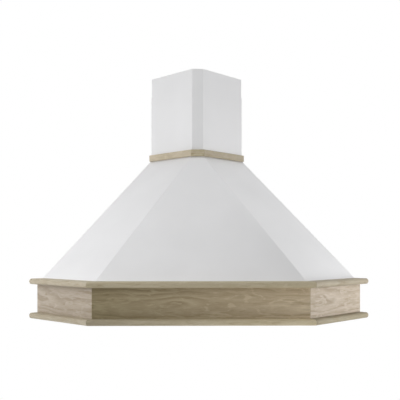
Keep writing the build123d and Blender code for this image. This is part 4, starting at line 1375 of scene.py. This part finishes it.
@dataclass
class Studio:
    """The floor, light and camera."""

    camera_place: Place = (-0.0803, -3.397, 0.296)
    camera_turn: float = -0.016             # to the right, in radians
    picture: float = 400.0                  # picture width in pixels
    focal: float = 646.0                    # focal length in pixels
    axis_pixel: tuple[float, float] = (190.6, 247.0)
    sensor: float = 36.0
    floor_centre: Place = (0.0, -0.5, -1.6)     # the hood hangs this far above a kitchen floor
    floor_radius: float = 3.4
    floor_sides: int = 96
    floor_colour: str = "#F4F4F2"
    floor_fade: tuple[float, float] = (0.9, 1.9)    # where it starts to fade to white, and ends
    fill: float = 0.16                      # strength of the even light from all round
    soft_boxes: tuple[SoftBox, ...] = (
        SoftBox("left_low_box", (-2.4, -0.2, -0.5), (-0.2, -0.7, 0.2), 2.4, 25.0),
        SoftBox("left_near_box", (-1.7, -1.0, 0.8), (-0.3, -0.7, 0.3), 1.4, 10.6),
        SoftBox("left_over_box", (-0.9, -1.9, 1.5), (-0.3, -0.8, 0.3), 0.6, 3.2),
        SoftBox("left_front_box", (-0.9, -1.9, 0.6), (-0.3, -0.8, 0.2), 0.6, 3.4),
        SoftBox("right_level_box", (2.8, -1.5, 0.6), (0.0, -0.6, 0.4), 2.4, 25.6),
        SoftBox("right_near_box", (2.0, -1.2, 0.1), (0.4, -0.8, 0.1), 0.8, 14.6),
        SoftBox("top_box", (0.0, -0.9, 3.0), (0.0, -0.5, 0.4), 1.6, 16.6),
        SoftBox("under_box", (0.0, -1.9, -1.2), (0.0, -0.8, 0.1), 0.8, 6.5),
        SoftBox("back_box", (0.0, 2.8, 1.4), (0.0, -0.4, 0.4), 1.8, 30.0),
    )

    def seen_light(self, tree: Tree) -> Socket:
        """Tell rays that show the background from rays that light the hood.

        Args:
            tree: The material's or world's node tree.

        Returns:
            A socket that is 1 on camera, mirror and glass rays.
        """
        path = add_node(tree, "ShaderNodeLightPath").node.outputs
        straight = add_node(tree, "ShaderNodeMath", {0: path["Is Camera Ray"], 1: path["Is Glossy Ray"]},
                            operation="MAXIMUM")
        return add_node(tree, "ShaderNodeMath", {0: straight, 1: path["Is Transmission Ray"]},
                        operation="MAXIMUM")

    def build_world(self) -> None:
        """Make a white room that lights the hood gently."""
        world = bpy.data.worlds.new("white_room")
        bpy.context.scene.world = world
        world.use_nodes = True
        tree = world.node_tree
        tree.nodes.clear()
        strength = add_node(tree, "ShaderNodeMapRange", {"Value": self.seen_light(tree), "To Min": self.fill})
        room = add_node(tree, "ShaderNodeBackground", {"Color": (1.0, 1.0, 1.0, 1.0), "Strength": strength})
        add_node(tree, "ShaderNodeOutputWorld", {"Surface": room})

    def floor_material(self) -> bpy.types.Material:
        """Make a pale matt floor.

        Returns:
            A material that fades to white at the floor's rim and is clear from beneath.
        """
        made = bpy.data.materials.new("pale_floor")
        made.use_nodes = True
        tree = made.node_tree
        tree.nodes.clear()
        place = add_node(tree, "ShaderNodeTexCoord", out="Object")
        reach = add_node(tree, "ShaderNodeVectorMath", {0: place, 1: self.floor_centre}, operation="DISTANCE")
        fade = add_node(tree, "ShaderNodeMapRange",
                        {"Value": reach, "From Min": self.floor_fade[0], "From Max": self.floor_fade[1]},
                        interpolation_type="SMOOTHSTEP")
        seen = add_node(tree, "ShaderNodeMath", {0: fade, 1: self.seen_light(tree)}, operation="MULTIPLY")
        plain = add_node(tree, "ShaderNodeBsdfDiffuse", {"Color": linear(self.floor_colour)})
        white = add_node(tree, "ShaderNodeEmission", {"Color": (1.0, 1.0, 1.0, 1.0), "Strength": 1.0})
        mixed = add_node(tree, "ShaderNodeMixShader", {0: seen, 1: plain, 2: white})
        beneath = add_node(tree, "ShaderNodeNewGeometry", out="Backfacing")
        clear = add_node(tree, "ShaderNodeBsdfTransparent")
        one_sided = add_node(tree, "ShaderNodeMixShader", {0: beneath, 1: mixed, 2: clear})
        add_node(tree, "ShaderNodeOutputMaterial", {"Surface": one_sided})
        return made

    def build_floor(self) -> None:
        """Lay a round floor below the hood."""
        bpy.ops.mesh.primitive_circle_add(vertices=self.floor_sides, radius=self.floor_radius,
                                          fill_type="NGON", location=self.floor_centre)
        floor = started("floor")
        floor.data.materials.append(self.floor_material())

    def build_camera(self) -> None:
        """Stand the camera where the photograph was taken from."""
        data = bpy.data.cameras.new("camera")
        data.sensor_width = self.sensor
        data.lens = self.focal * self.sensor / self.picture
        data.shift_x = 0.5 - self.axis_pixel[0] / self.picture
        data.shift_y = self.axis_pixel[1] / self.picture - 0.5
        camera = bpy.data.objects.new("camera", data)
        bpy.context.scene.collection.objects.link(camera)
        camera.location = self.camera_place
        camera.rotation_euler = (math.pi / 2, 0.0, self.camera_turn)
        bpy.context.scene.camera = camera

    def build(self) -> None:
        """Set the stage."""
        bpy.context.scene.view_settings.view_transform = "Standard"
        self.build_world()
        self.build_floor()
        for soft_box in self.soft_boxes:
            soft_box.hang()
        self.build_camera()


def main() -> None:
    """Build and dress the hood, one sub-assembly after another, then the studio round it."""
    logging.basicConfig(level=logging.INFO, format="%(name)s: %(message)s")
    hood = PackedHood.load()
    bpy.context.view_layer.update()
    assemblies: list[SubAssembly] = [
        OakSkirt(hood), PaintedShell(hood), WallFixings(hood), BasePanel(hood), AirBox(hood), Blower(hood),
        DuctCollar(hood), Wiring(hood), GreaseFilters(hood), ControlPanel(hood), SpotLamps(hood),
        Screws(hood),
    ]
    for assembly in assemblies:
        assembly.build()
        assembly.dress()
    Studio().build()


if __name__ == "__main__":
    main()
